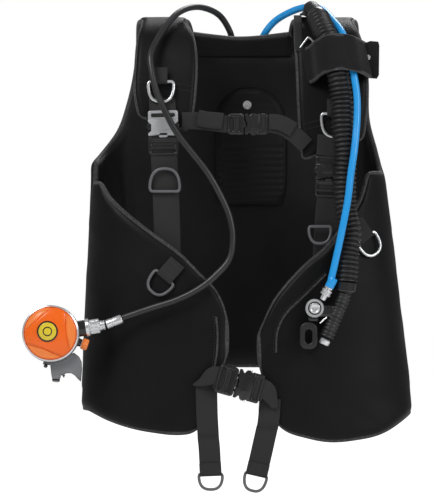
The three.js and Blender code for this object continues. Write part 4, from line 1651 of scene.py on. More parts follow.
@dataclass
class WireRing:
    """A welded wire D-ring and the webbing loop that holds its bar."""

    name: str
    bar: Vector
    bar_axis: Vector
    bow: Vector
    width: float
    reach: float
    finish: Finish
    radius: float = 2.1
    part: str = ""

    def outline(self) -> list[Vector]:
        """The centre line of the wire: a straight bar and a bow with eased corners.

        Returns:
            Its points in order, as a closed ring.
        """
        side, down = self.bar_axis.normalized(), self.bow.normalized()
        out = []
        for i in range(49):
            turn = pi * i / 48
            along = self.width / 2 * powered(cos(turn), 0.8)
            out.append(self.bar + side * (along * MM) + down * (self.reach * sin(turn) ** 0.7 * MM))
        for k in range(1, 16):
            share = -0.5 + k / 16
            out.append(self.bar + side * (self.width * share * MM))
        for _ in range(2):
            out = [(out[i - 1] + out[i] * 2 + out[(i + 1) % len(out)]) / 4 for i in range(len(out))]
        return out

    def build(self) -> Piece:
        """Makes the ring, on the body of its part where it has one.

        Returns:
            The ring.
        """
        made = tube(self.name, self.outline(), lambda s: self.radius * MM, self.finish, 14, loop=True)
        if not self.part:
            return keep(made)
        return keep(made, f"{self.part}_ring", body=f"{self.part}_d_ring")

    def loop(self, width: float, tail: float, normal: Vector, lift: float = 0.0) -> Piece:
        """A short webbing loop round the bar, sewn down behind it.

        Args:
            width: webbing width in millimetres.
            tail: length of the sewn part in millimetres.
            normal: the way out of the cloth under it.
            lift: extra height of the sewn part in millimetres.

        Returns:
            The webbing loop.
        """
        down, out = self.bow.normalized(), normal.normalized()
        out = (out - down * out.dot(down)).normalized()
        r = self.radius + 1.2
        path = [self.bar - down * (tail * MM) + out * ((r + lift - 0.6) * MM)]
        path.append(self.bar - down * (tail * 0.5 * MM) + out * ((r + lift) * MM))
        for k in range(9):
            turn = pi * k / 8
            path.append(self.bar + (out * cos(turn) + down * sin(turn)) * (r * MM))
        path.append(self.bar - down * (tail * 0.5 * MM) - out * (r * 0.8 * MM))
        return keep(ribbon(f"{self.name}_loop", path, width * MM, 1.5 * MM, self.bar_axis, WEBBING))


@dataclass
class Buckle:
    """A side-release buckle: socket and tongue, drawn with X along the pull."""

    name: str
    length: float
    width: float
    mouth: Vector
    pull: Vector
    finish: Finish
    tongue_finish: Finish = BLACK
    depth: float = 11.0

    def socket_parts(self) -> list[Piece]:
        """The socket's shell, waist panel and webbing bars.

        Returns:
            The parts, drawn about the mouth.
        """
        tunnel, frame_length, w = 0.36 * self.length, 0.2 * self.length, self.width
        waist = 0.10 * w
        outline = [
            (0, w / 2 - 1), (-1, w / 2), (-tunnel * 0.16, w / 2), (-tunnel * 0.3, w / 2 - waist),
            (-tunnel * 0.7, w / 2 - waist), (-tunnel * 0.86, w / 2), (-tunnel, w / 2), (-tunnel, 0),
        ]
        outline += [(x, -y) for x, y in reversed(outline[:-1])]
        half = self.depth / 2
        notch = rounded(-1.0, 0, 7.0, w * 0.3, 2.5)
        end = rounded(-tunnel + 1.6, 0, 3.2, w - 1, 1.2)
        parts = [
            self.cast("front", outline, half - 2.4, half, 0.9, notch),
            self.cast("rear", outline, -half, -half + 2.4, 0.9),
            self.cast("end", end, -half + 1, half - 1, 0.5),
        ]
        slot = rounded(-tunnel - frame_length / 2 + 0.5, 0, frame_length * 0.42, w - 9, 1.5)
        frame_outline = rounded(-tunnel - frame_length / 2 + 1, 0, frame_length + 2, w, 3.5)
        parts.append(self.cast("frame", frame_outline, -3, 3, 1.2, slot))
        for sign in (-1, 1):
            pillar = rounded(-tunnel * 0.08, sign * (w / 2 - 1.6), tunnel * 0.16, 3.0, 1.0)
            parts.append(self.cast("pillar", pillar, -half + 1, half - 1, 0.5))
        plate = rounded(-tunnel * 0.62, 0, tunnel * 0.5, w * 0.5, 2.5)
        parts.append(self.cast("panel", plate, half - 0.6, half + 0.5, 0.4))
        return parts

    def cast(self, kind: str, outline: Pairs, low: float, high: float, bevel: float, *holes: Pairs) -> Piece:
        """One moulded part of the buckle, in the finish of its half.

        Args:
            kind: what the part is.
            outline: its corner points in millimetres.
            low: height of its lower face.
            high: height of its upper face.
            bevel: edge radius.
            holes: corner points of each hole.

        Returns:
            The part, drawn about the mouth.
        """
        finish = self.tongue_finish if kind in (
            "base", "collar", "rib", "guide", "arm", "grip"
        ) else self.finish
        return moulded(f"{self.name}_{kind}", outline, holes, low, high, bevel, finish)

    def tongue_parts(self) -> list[Piece]:
        """The tongue's base with its slots, three prongs and two release pads.

        Returns:
            The parts, drawn about the mouth.
        """
        base, w = 0.42 * self.length, self.width
        slots = [rounded(0.4 + base * s, 0, 5, w - 9, 1.6) for s in (0.42, 0.78)]
        parts = [self.cast("base", rounded(0.4 + base / 2, 0, base, w, 5), -3.4, 3.4, 1.4, *slots)]
        collar = rounded(0.4 + base * 0.12, 0, base * 0.2, w - 2, 2)
        parts.append(self.cast("collar", collar, -4.4, 4.4, 1.3))
        for k in (0.56, 0.64):
            rib = rounded(0.4 + base * k + 1, 0, 1.3, w - 12, 0.6)
            parts.append(self.cast("rib", rib, -4.0, 4.0, 0.5))
        prong = 0.3 * self.length
        guide = rounded(-prong / 2 + 2, 0, prong + 4, w * 0.13, 1.5)
        parts.append(self.cast("guide", guide, -2.4, 2.4, 0.6))
        shape = (
            (-0.35, 0.33), (-0.5, 0.5), (-0.75, 0.53), (-0.98, 0.47), (-1, 0.36), (-0.7, 0.34), (-0.4, 0.24),
        )
        arm = [(3, 0.30), *[(prong * along, share) for along, share in shape], (3, 0.2)]
        for sign in (-1, 1):
            outline = [(x, sign * share * w) for x, share in (arm if sign > 0 else arm[::-1])]
            parts.append(self.cast("arm", outline, -2.5, 2.5, 0.8))
            for k in range(3):
                grip = rounded(-prong * (0.62 + 0.13 * k), sign * w * 0.525, 0.9, 1.6, 0.4)
                parts.append(self.cast("grip", grip, -2.2, 2.2, 0.3))
        return parts

    def threaded(self, half: str, low: float, high: float, body: str) -> None:
        """The webbing seen in the slots of one half.

        Args:
            half: socket or tongue.
            low: where it starts, as a share of the buckle's length along the pull.
            high: where it ends.
            body: the body it rides on.
        """
        way, rise = self.pull.normalized(), FORWARD * (0.8 * MM)
        shares = [low + (high - low) * k / 6 for k in range(7)]
        path = [self.mouth + way * (self.length * share * MM) + rise * sin(9 * share) for share in shares]
        keep(
            ribbon(
                f"{self.name}_{half}_turn", path, (self.width - 7.5) * MM, 2.4 * MM, FORWARD.cross(way),
                WEBBING
            ), body=body
        )

    def build(self) -> None:
        """Makes both halves, each on its body."""
        across = FORWARD.cross(self.pull)
        self.threaded("socket", -0.54, -0.36, BODY)
        self.threaded("tongue", 0.1, 0.44, f"{self.name}_tongue")
        for half, parts, body in (
            ("socket", self.socket_parts(), BODY),
            ("tongue", self.tongue_parts(), f"{self.name}_tongue"),
        ):
            whole = joined(f"{self.name}_{half}", parts)
            placed(whole, self.mouth, self.pull, across)
            keep(whole, f"{self.name}_buckle_{half}", body=body)


@dataclass
class Harness:
    """The sternum, shoulder and waist straps with their rings and buckles."""

    web: float = 2.0

    def strap(
        self, name: str, width: float, across: Vector, *rows: tuple[float, float, float], node: str = "",
        taper: float = 1.0
    ) -> Piece:
        """One length of webbing through points in millimetres.

        Args:
            name: the piece's name.
            width: webbing width in millimetres.
            across: the direction of its width.
            rows: points that it passes through.
            node: the CAD node it stands for.
            taper: width at its end as a share of the width at its start.

        Returns:
            The webbing, not yet on a body.
        """
        path = resampled(catmull(points_mm(*rows), 10), 3 * MM)
        made = ribbon(name, path, width * MM, self.web * MM, across, WEBBING, taper)
        if node:
            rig.replaces(made, node)
        return made

    def sewn(
        self, name: str, path: Sequence[tuple[float, float, float]], width: float, across: Vector, lift: float
    ) -> None:
        """Two rows of stitches along the edges of a strap.

        Args:
            name: the rows' first name.
            path: points of the strap in millimetres.
            width: its width in millimetres.
            across: the direction of its width.
            lift: height of the thread above it, in millimetres.
        """
        line = resampled(catmull(points_mm(*path), 8), 4 * MM)
        for sign in (-1, 1):
            ways = [(across - d * across.dot(d)).normalized() for d in tangents(line)]
            outs = [d.cross(w) for d, w in zip(tangents(line), ways)]
            outs = [o if o.y < 0 else -o for o in outs]
            points = [p + w * (sign * (width / 2 - 2.5) * MM) for p, w in zip(line, ways)]
            keep(stitched(f"{name}_{'low' if sign < 0 else 'high'}", Edge(points, outs), lift, both=False))

    def shoulders(self) -> None:
        """The left and right shoulder straps."""
        left_rows = [
            (-109.5, -206, 22), (-109, -206, 11.5), (-107, -204, -30), (-105, -201, -90), (-104, -199, -150)
        ]
        left = self.strap("left_shoulder_strap", 37, RIGHTWARD, *left_rows, node="left_shoulder_webbing")
        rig.blend(left, "left_shoulder_tongue", BODY, mm(-105, -203, -62), mm(-105, -200, -105))
        right_rows = [
            (123, -208, -40), (123, -208, -48), (121, -203, -70), (119, -197, -100), (117, -192, -165)
        ]
        right = self.strap("right_shoulder_strap", 37, RIGHTWARD, *right_rows, node="right_shoulder_webbing")
        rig.blend(right, "right_shoulder_tongue", BODY, mm(122, -207, -50), mm(119, -198, -95))
        left_top = [(-113, -184, 118), (-112, -192, 92), (-111, -203, 76), (-110.5, -206, 66)]
        keep(self.strap("left_shoulder_anchor", 37, RIGHTWARD, *left_top))
        right_top = [(124, -203.5, 42), (123, -206, 20), (122, -208, 12)]
        keep(self.strap("right_shoulder_anchor", 37, RIGHTWARD, *right_top))
        Buckle("left_shoulder", 63, 42, mm(-110, -206, 41), Vector((0.02, 0, -1)), SATIN).build()
        Buckle("right_shoulder", 58, 40, mm(122, -208, -20), Vector((-0.03, 0, -1)), BLACK).build()

    def sternum(self) -> None:
        """The chest strap."""
        left_rows = [(-16, -206, 57), (-23.5, -206, 57), (-45, -203, 60), (-66, -199, 62), (-84, -197.5, 62)]
        left = self.strap("left_sternum_strap", 24, UPWARD, *left_rows, node="left_sternum_webbing")
        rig.blend(left, "sternum_tongue", BODY, mm(-24, -206, 57), mm(-62, -200, 62))
        right_rows = [(32, -206, 57), (39.5, -206, 56.5), (54, -205.5, 54), (74, -205, 42), (90, -203.5, 27)]
        keep(self.strap("right_sternum_strap", 24, UPWARD, *right_rows, node="right_sternum_webbing"))
        folded = [(-62, -202.5, 66), (-48, -206, 63), (-34, -208, 62), (-27, -208.8, 61)]
        fold = self.strap("left_sternum_fold", 23, UPWARD, *folded)
        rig.blend(fold, "sternum_tongue", BODY, mm(-24, -206, 57), mm(-62, -200, 62))
        tail = [(38, -208.6, 60), (48, -209, 60), (60, -208.6, 56), (72, -207.6, 49)]
        keep(self.strap("right_sternum_tail", 22, UPWARD, *tail))
        Buckle("sternum", 57, 29, mm(4, -206, 57), LEFTWARD, BLACK).build()

    def waist(self) -> None:
        """The waist strap, its buckle and the two hanging straps with their rings."""
        pull = Vector((-1, 0, 0.28)).normalized()
        mouth = mm(-8, -240, -304)
        left_start = (mouth + pull * 25 * MM) / MM
        right_start = (mouth - pull * 34 * MM) / MM
        left_rows = [tuple(left_start), tuple(left_start + pull * 9), (-56, -237, -303), (-68, -233.5, -307)]
        across = Vector((0.28, 0, 1))
        left = self.strap("left_waist_strap", 34, across, *left_rows, node="left_waist_webbing", taper=0.08)
        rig.blend(left, "waist_tongue", BODY, mm(-40, -240, -296), mm(-64, -234, -305))
        right_rows = [tuple(right_start), tuple(right_start - pull * 10), (41, -238, -327), (46, -236, -339)]
        across = Vector((0.6, 0, 1))
        keep(self.strap("right_waist_strap", 34, across, *right_rows, node="right_waist_webbing", taper=0.25))
        left_hang = [
            (-50, -231, -303), (-49, -231, -345), (-47.5, -230, -374), (-47, -227.5, -383),
            (-46, -230.5, -392), (-44, -231, -428)
        ]
        right_hang = [
            (39, -231.5, -326), (36.5, -231.5, -360), (34, -228, -371), (31, -231, -384), (27, -231, -402),
            (21, -231, -428)
        ]
        keep(self.strap("left_hanging_webbing", 30, RIGHTWARD, *left_hang, node="left_hanging_strap"))
        keep(self.strap("right_hanging_webbing", 30, RIGHTWARD, *right_hang, node="right_hanging_strap"))
        tilted = Vector((0.97, 0, -0.22))
        for name, rows, across in (("left", left_hang, RIGHTWARD), ("right", right_hang, tilted)):
            low = Vector(rows[-1])
            up = (Vector(rows[-2]) - low).normalized()
            steps = ((12, 2.0), (4, 2.6), (-2.5, 3.4), (-6.0, 1.6))
            band = [low + up * rise + FORWARD * lift for rise, lift in steps]
            keep(self.strap(f"{name}_hanging_fold", 30.6, across, *[tuple(p) for p in band]))
            line = [tuple(p + FORWARD * 0.2) for p in band[:2]]
            self.sewn(f"{name}_fold_stitches", line, 30, across, 1.3)
        Buckle("waist", 65, 41, mouth, pull, BLACK).build()
        bow = Vector((-0.22, 0, -0.97))
        for part, bar, axis, down, width, reach in (
            ("left_hanging", mm(-43.8, -231, -431), RIGHTWARD, DOWNWARD, 33, 22),
            ("right_hanging", mm(20, -231, -431.5), tilted, bow, 31, 24),
        ):
            WireRing(f"{part}_d_ring_wire", bar, axis, down, width, reach, DARK_STEEL, part=part).build()

    def chest_rings(self) -> None:
        """The rings on the shoulder panels and shoulder straps."""
        rings = (
            ("left_chest", mm(-113.5, -195, 117), Vector((0, -0.18, -1)), 36, 29, STEEL, (18, -1.5)),
            ("right_chest", mm(129, -201.5, 72), Vector((0, -0.05, -1)), 36, 33, STEEL, (20, -1.0)),
            ("left_strap", mm(-108, -208.4, -37), Vector((0, -0.09, 1)), 42, 32, DARK_STEEL, None),
            ("right_strap", mm(109, -208.4, -86), Vector((0, -0.12, -1)), 31, 24, DARK_STEEL, None),
        )
        for part, bar, bow, width, reach, finish, loop in rings:
            ring = WireRing(f"{part}_wire", bar, RIGHTWARD, bow, width, reach, finish, part=part)
            ring.build()
            if loop:
                ring.loop(loop[0], 20, FORWARD, loop[1])

    def lobe_rings(self) -> None:
        """The rings sewn to the lobes with their webbing tabs."""
        spots = (
            (Side.LEFT, -106, -157, Vector((-0.65, 0, -0.76)), DARK_STEEL),
            (Side.RIGHT, 168, -102, Vector((0.6, 0, -0.8)), STEEL)
        )
        for side, x, z, way, finish in spots:
            point, out = TORSO.front_frame(x, z, 6.5 + 4)
            down = (way - out * way.dot(out)).normalized()
            across = down.cross(out)
            part = f"{side.value}_lobe"
            WireRing(f"{part}_wire", point, across, down + out * 0.1, 34, 27, finish, part=part).build()
            steps = ((28, -1.2), (14, 0.4), (4, 2.2))
            path = [point - down * (back * MM) + out * (lift * MM) for back, lift in steps]
            for k in range(1, 8):
                turn = pi * k / 8
                path.append(point + (out * cos(turn) + down * sin(turn)) * (3.2 * MM))
            keep(ribbon(f"{part}_webbing", path, 25 * MM, 1.6 * MM, across, WEBBING), f"{part}_tab")
            for share in (7, 22):
                centre = point - down * (share * MM) + out * (1.6 * MM)
                line = Edge([centre - across * (10 * MM), centre + across * (10 * MM)], [out, out])
                keep(stitched(f"{side.value}_tab_stitches_{share}", line, 0.9, 3.0, both=False))

    def build(self) -> None:
        """Makes the whole harness."""
        self.shoulders()
        self.sternum()
        self.waist()
        self.chest_rings()
        self.lobe_rings()


# ---- carrier on the back ----


@dataclass
class Carrier:
    """Back plate, tank band with cam buckle, and carrying handle."""

    plate_width: float = 180.0
    plate_height: float = 330.0
    plate_middle: float = -20.0
    plate_y: float = -14.0
    saddle_width: float = 64.0
    band_middle: float = -75.0
    half_width: float = 88.0
    half_depth: float = 38.0
    band_front: float = -2.0

    def plate(self) -> None:
        """The moulded plate with raised saddle, ribs and slots."""
        slots = [rounded(sign * 66, self.band_middle, 7, 56, 2) for sign in (-1, 1)]
        window = [rounded(sign * 62, 60, 18, 90, 8) for sign in (-1, 1)]
        panel = moulded(
            "back_plate_panel", rounded(0, self.plate_middle, self.plate_width, self.plate_height, 28, 10),
            slots, 0, 6, 1.5, BLACK
        )
        upper = moulded(
            "back_plate_saddle", rounded(0, 38.5, self.saddle_width, 173, 10), [], 5, 14, 1.2, BLACK
        )
        lower = moulded(
            "back_plate_heel", rounded(0, -133.5, self.saddle_width, 63, 10), [], 5, 14, 1.2, BLACK
        )
        floor = moulded(
            "back_plate_floor", rounded(0, self.band_middle, self.saddle_width, 60, 2), [], 5, 10, 0.4, BLACK
        )
        parts = [panel, upper, lower, floor]
        for loop in window:
            inner = [(x * 0.92 + (62 if x > 0 else -62) * 0.08, y * 0.95 + 60 * 0.05) for x, y in loop]
            parts.append(moulded("back_plate_rib", loop, [inner], 5.5, 7.6, 0.5, BLACK))
        for k in range(5):
            z = -160 + 22 * k
            for sign in (-1, 1):
                parts.append(moulded(
                    "back_plate_bar", rounded(sign * 60, z + (0 if z < -110 else 190), 36, 3, 1.4), [], 5.5,
                    7.4, 0.5, BLACK
                ))
        whole = joined("back_plate_moulding", parts)
        placed(whole, mm(0, self.plate_y, 0), LEFTWARD, UPWARD)
        keep(whole, "back_plate")

    def band(self) -> None:
        """The slack tank band with its grip strip."""
        path = []
        centre_y = self.half_depth + self.band_front
        for k in range(97):
            turn = tau * k / 96
            x = self.half_width * powered(cos(turn), 0.7)
            y = centre_y + self.half_depth * powered(sin(turn), 0.7)
            path.append(mm(x, y, self.band_middle))
        keep(
            ribbon("tank_band_webbing", resampled(path, 4 * MM), 50 * MM, 2.5 * MM, UPWARD, WEBBING),
            "tank_band"
        )
        grip = [p for p in path if p.y > (centre_y + 10) * MM]
        inner = [Vector((p.x * 0.965, (p.y - centre_y * MM) * 0.93 + centre_y * MM, p.z)) for p in grip]
        keep(ribbon("tank_band_grip", resampled(inner, 4 * MM), 40 * MM, 1.4 * MM, UPWARD, RUBBER))

    def cam(self) -> None:
        """The cam buckle's frame and lever."""
        rear = 2 * self.half_depth + self.band_front + 1.65
        slots = [rounded(share * 72, self.band_middle, 5, 44, 1.5) for share in (-0.3, 0.3)]
        frame_plate = moulded("cam_frame", rounded(0, self.band_middle, 72, 56, 5), slots, 0, 5, 1.2, BLACK)
        placed(frame_plate, mm(0, rear, 0), LEFTWARD, UPWARD)
        keep(frame_plate, "cam_buckle_frame")
        plate = moulded(
            "cam_lever", rounded(2, self.band_middle, 62, 50, 6), [rounded(16, self.band_middle, 8, 30, 3)],
            0, 5, 1.6, BLACK
        )
        ribs = [
            moulded("cam_rib", rounded(-18 + 5 * k, self.band_middle, 1.6, 36, 0.7), [], 4.6, 6.0, 0.5, BLACK)
            for k in range(5)
        ]
        lever = joined("cam_lever_plate", [plate, *ribs])
        placed(lever, mm(0, rear + 5.4, 0), LEFTWARD, UPWARD)
        keep(lever, "cam_buckle_lever", body="cam_lever")

    def handle(self) -> None:
        """The webbing handle with its rubber grip, and the bolts at its feet."""
        foot, span, reach, z = -4.8, 64.0, 32.0, 118.0
        rows = [
            (-span - 12, foot, z), (-span, foot, z), (-span * 0.62, reach * 0.75, z), (0, reach, z),
            (span * 0.62, reach * 0.75, z), (span, foot, z), (span + 12, foot, z)
        ]
        path = resampled(catmull(points_mm(*rows), 10), 3 * MM)
        keep(ribbon("carry_handle_webbing", path, 28 * MM, 3 * MM, UPWARD, WEBBING), "carry_handle")
        middle = [p for p in path if abs(p.x) < 34 * MM]
        keep(ribbon(
            "carry_handle_grip", [p + Vector((0, 0.2 * MM, 0)) for p in middle], 31 * MM, 6 * MM, UPWARD,
            RUBBER
        ))
        for sign in (-1, 1):
            washer = [(0, 0), (6, 0), (6, 1.2), (4.6, 2.2), (2.2, 2.2), (1.8, 1.4), (0, 1.4)]
            keep(turned(
                f"handle_bolt_{'right' if sign > 0 else 'left'}", washer, mm(sign * 70, foot + 1.4, z),
                BACKWARD, STEEL, 28
            ))

    def build(self) -> None:
        """Makes the carrier."""
        self.plate()
        self.band()
        self.cam()
        self.handle()


# ---- inflator line ----


@dataclass
class InflatorLine:
    """Dump elbow, corrugated hose, its keeper, the blue supply hose and the inflator."""

    corrugated_diameter: float = 33.0
    root_diameter: float = 26.5
    rib_pitch: float = 6.6
    blue_diameter: float = 10.0
    blue_length: float = 0.74
    corrugated_length: float = 0.40
    corrugated_rows: tuple[tuple[float, float, float], ...] = (
        (107.5, -160.5, 207), (112, -175, 195), (123, -197, 168), (133, -218, 130), (139, -223, 91),
        (141, -229, 49), (144, -232, 14), (143, -232.5, -14), (144, -234, -59), (151, -237, -98),
        (147, -239, -127), (145, -242, -163),
    )
    blue_rows: tuple[tuple[float, float, float], ...] = (
        (22, 22, 60), (22, 21, 100), (24, 12, 142), (28, -14, 172),
        (32, -34, 188), (46, -38, 206), (67, -52, 219), (91, -74, 226), (113, -102, 222),
        (129, -146, 204), (141, -173, 186), (150, -200, 160), (154.5, -225, 133), (160, -233, 97),
        (160, -240, 63), (156, -250, 20), (151, -254.5, -14), (147, -258, -48), (140, -260, -85),
        (133, -258, -119), (122, -256, -168),
    )

    def hoses(self) -> None:
        """Both hoses, declared as cords."""
        path = resampled(catmull(points_mm(*self.corrugated_rows), 12), 1.1 * MM)
        outer, root = self.corrugated_diameter / 2, self.root_diameter / 2

        def ribbed(along: float) -> float:
            """Radius of the corrugated hose at a distance along it."""
            return (root + (outer - root) * wave(along, self.rib_pitch) ** 0.7) * MM

        bellows = tube("corrugated_hose_bellows", path, ribbed, RUBBER, 32)
        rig.cord(
            bellows, exit=path[0], length=self.corrugated_length, diameter=self.corrugated_diameter * MM,
            far_end="object", stiffness="medium", lay="loose", path=path[::4] + [path[-1]]
        )
        keep(bellows, "corrugated_hose")
        blue = resampled(catmull(points_mm(*self.blue_rows), 12), 4 * MM)[::-1]
        hose = tube("inflator_supply_hose", blue, lambda s: self.blue_diameter / 2 * MM, BLUE, 20)
        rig.cord(
            hose, exit=blue[0], length=self.blue_length, diameter=self.blue_diameter * MM, far_end="fitting",
            stiffness="medium", lay="loose", path=blue, with_pieces=["inflator_hose_end_fitting"]
        )
        keep(hose, "inflator_hose")

    def keeper(self) -> None:
        """The wide hook-and-loop band over the hoses, with its tab."""
        slope = Vector((-0.12, 0.33, 0.93))
        rows = [
            (88, -184, 138), (97, -188, 141), (107, -214, 150), (121, -229, 156), (139, -232, 158),
            (157, -229, 155), (169, -212, 150), (178, -190, 146)
        ]
        path = resampled(catmull(points_mm(*rows), 12), 2.5 * MM)
        band = ribbon("hose_keeper_band", path, 52 * MM, 2.4 * MM, slope, PILE)
        keep(band, "hose_keeper")
        for sign in (-1, 1):
            place = "top" if sign > 0 else "low"
            inside = path[2:-2]
            line = [p + slope.normalized() * (sign * 22.5 * MM) for p in inside]
            outs = [d.cross(slope).normalized() for d in tangents(line)]
            sewn = Edge(line, [out if out.y < 0 else -out for out in outs])
            keep(stitched(f"hose_keeper_stitches_{place}", sewn, 1.5, both=False))
            border = [p + slope.normalized() * (sign * 25.4 * MM) for p in inside]
            tape = Edge(border, [d.cross(slope).normalized() for d in tangents(inside)])
            tape.inward = 1 if tangents(border)[3].cross(tape.normals[3]).dot(slope) * sign < 0 else -1
            keep(bound(f"hose_keeper_edge_{place}", tape, 5, 3.4))
        self.keeper_tab()

    def keeper_tab(self) -> None:
        """The band's pull tab with its rivet, and a small ring on a webbing tab by the neck."""
        outline = [
            (172, 171), (180, 174), (191, 173), (192.5, 168), (192, 126), (189, 121), (176, 122), (172, 128)
        ]
        tab = moulded("hose_keeper_tab", outline, [], 0, 3.4, 1.0, PILE)
        keep(placed(tab, mm(0, -190, 0), RIGHTWARD, UPWARD))
        head = [(0, 0), (3.6, 0), (3.6, 0.8), (2.8, 1.6), (0, 1.8)]
        keep(turned("hose_keeper_rivet", head, mm(176.5, -193, 151), FORWARD, STEEL, 28))
        small = WireRing(
            "right_shoulder_small_wire", mm(86, -169, 171), Vector((0.59, 0, 0.8)), Vector((0.8, 0.1, -0.59)),
            24, 16, STEEL, 1.5
        )
        small.build()
        strip = catmull(points_mm((79, -122, 212), (79, -146, 199), (80, -163, 177), (81, -172, 160)), 8)
        keep(ribbon("right_shoulder_small_tab", strip, 11 * MM, 2 * MM, RIGHTWARD, WEBBING))

    def elbow(self) -> None:
        """The dump valve's elbow on the shoulder and its flange."""
        rows = [(97, -114, 215), (97.5, -119, 222), (100, -134, 221.5), (104, -150, 215), (107, -159, 208.6)]
        path = resampled(catmull(points_mm(*rows), 10), 2 * MM)
        bend = tube("dump_elbow_bend", path, lambda s: (9.5 + 1.1 * wave(s, 5.0)) * MM, RUBBER, 28)
        profile = [(0, 0), (15, 0), (15, 2.2), (13.8, 3.2), (12, 3.4), (11.4, 5.2), (9, 6), (0, 6)]
        flange = turned("dump_elbow_flange", profile, mm(97, -114, 213), UPWARD, BLACK, 40)
        cuff = turned(
            "dump_elbow_cuff", [(0, 0), (12.5, 0), (13.4, 1.5), (13.4, 7), (12.4, 8.4), (0, 8.4)],
            mm(104.6, -152, 213.6), Vector((0.28, -0.72, -0.62)), BLACK, 40
        )
        keep(joined("dump_elbow_body", [bend, flange, cuff]), "dump_elbow")

    def inflator(self) -> None:
        """The inflator's body, buttons and mouthpiece."""
        rows = [(143, -243, -176), (139, -243, -190), (129, -243, -214), (118, -243, -240)]
        path = resampled(catmull(points_mm(*rows), 12), 0.9 * MM)
        grip = tube("inflator_grip", path, lambda s: (9.0 + 1.6 * wave(s, 5.2) ** 0.6) * MM, RUBBER, 32)
        sleeve_profile = [(0, 0), (14, 0), (15.2, 1.2), (15.2, 12), (14, 13.4), (11, 14.2), (0, 14.2)]
        sleeve = turned(
            "inflator_sleeve", sleeve_profile, mm(144.6, -242.4, -163.9), Vector((-0.1, -0.05, -1)), BLACK, 44
        )
        housing_profile = [
            (0, 0), (11, 0), (12.6, 1.6), (13.2, 5), (13.2, 16), (13.6, 17), (13.6, 20), (12.6, 21),
            (9.2, 21), (8.7, 20.4), (8.7, 13.8), (0, 13.8)
        ]
        housing = turned("inflator_housing", housing_profile, mm(101, -229, -200), FORWARD, BLACK, 48)
        bridge = moulded("inflator_bridge", rounded(116, -204, 26, 17, 5), [], 0, 14, 3, BLACK)
        placed(bridge, mm(0, -236, 0), RIGHTWARD, UPWARD)
        neck = moulded("inflator_neck", rounded(99, -210, 15, 18, 4), [], 0, 12, 3, BLACK)
        placed(neck, mm(0, -237, 0), RIGHTWARD, UPWARD)
        keep(joined("inflator_valve_body", [grip, sleeve, housing, bridge, neck]), "inflator_body")
        ring = turned(
            "inflator_ring",
            [(8.9, 20.4), (9.4, 21.6), (12.2, 21.7), (12.9, 20.9), (12.9, 20.2), (8.9, 20.2), (8.9, 20.4)],
            mm(101, -229, -200), FORWARD, STEEL, 48
        )
        keep(ring)
        base = mm(101, -229 - 21 + 7 - 2.9, -200)
        button = turned(
            "inflate_button_cap",
            [(0, 0), (7.6, 0), (7.6, 6.6), (7.0, 7.6), (5.6, 8.0), (4.8, 7.5), (0, 7.3)], base, FORWARD,
            STEEL, 40
        )
        keep(button, "inflate_button", body="inflate")
        axis = Vector((-0.42, 0, -0.91)).normalized()
        cap = turned(
            "deflate_cap_knob",
            [(0, 0), (6.4, 0), (6.9, 0.9), (7.6, 1.6), (7.6, 6.2), (6.9, 7.6), (5.0, 8.4), (0, 8.5)],
            mm(118, -243, -240) + axis * (3.5 * MM), axis, STEEL, 60, ribs=20, rib=0.35
        )
        keep(cap, "deflate_cap", body="deflate")
        lip = moulded(
            "mouthpiece_lip", rounded(0, 0, 25, 38, 10.5, 8), [rounded(0, -1, 9, 19, 4.4, 7)], 0, 4.2, 1.5,
            RUBBER
        )
        barrel = moulded(
            "mouthpiece_barrel", rounded(0, 0, 21, 34, 9, 8), [rounded(0, -1, 9.6, 19.6, 4.6, 7)], 3.2, 11,
            1.0, RUBBER
        )
        rim = moulded(
            "mouthpiece_rim", rounded(0, 0, 24.4, 37.4, 10.5, 8), [rounded(0, -1, 10, 20, 4.8, 7)], 10, 14,
            1.7, RUBBER
        )
        mouth = joined("oral_mouthpiece_rubber", [lip, barrel, rim])
        placed(mouth, mm(92.5, -236, -238.5), RIGHTWARD, Vector((0.06, 0, 1)))
        keep(mouth, "oral_mouthpiece")
        pin = turned(
            "inflator_pin", [(0, 0), (1.1, 0), (1.1, 13), (0, 13)], mm(108, -251, -221),
            Vector((0.75, 0, 0.66)), STEEL, 16
        )
        keep(pin)

    def coupling(self) -> None:
        """The quick-disconnect coupling on the blue hose."""
        start, axis = mm(121, -256, -170.3), Vector((-0.42, 0.1, -0.8)).normalized()
        body = [
            (0, 0), (5.6, 0), (6.0, 0.6), (6.0, 2.6), (5.2, 3.2), (4.4, 3.6), (4.4, 18), (4.0, 20), (0, 20)
        ]
        keep(turned("coupling_core", body, start, axis, STEEL, 36), "coupling_body")
        collar = [
            (4.9, 4.2), (6.6, 4.2), (7.4, 5.2), (7.4, 7.0), (6.6, 7.8), (6.6, 9.4), (7.4, 10.2), (7.4, 12.2),
            (6.8, 13), (4.9, 13), (4.9, 4.2)
        ]
        keep(
            turned("coupling_sleeve", collar, start, axis, STEEL, 60, ribs=24, rib=0.3), "coupling_collar",
            body="coupling_ring"
        )
        boot = [(0, -14), (5.5, -14), (6.2, -12.5), (6.4, -4), (6.4, 0), (0, 0)]
        keep(turned("coupling_boot", boot, start, axis, BLUE, 32))

    def build(self) -> None:
        """Makes the whole line."""
        self.fittings()
        self.hoses()
        self.keeper()
        self.elbow()
        self.inflator()
        self.coupling()

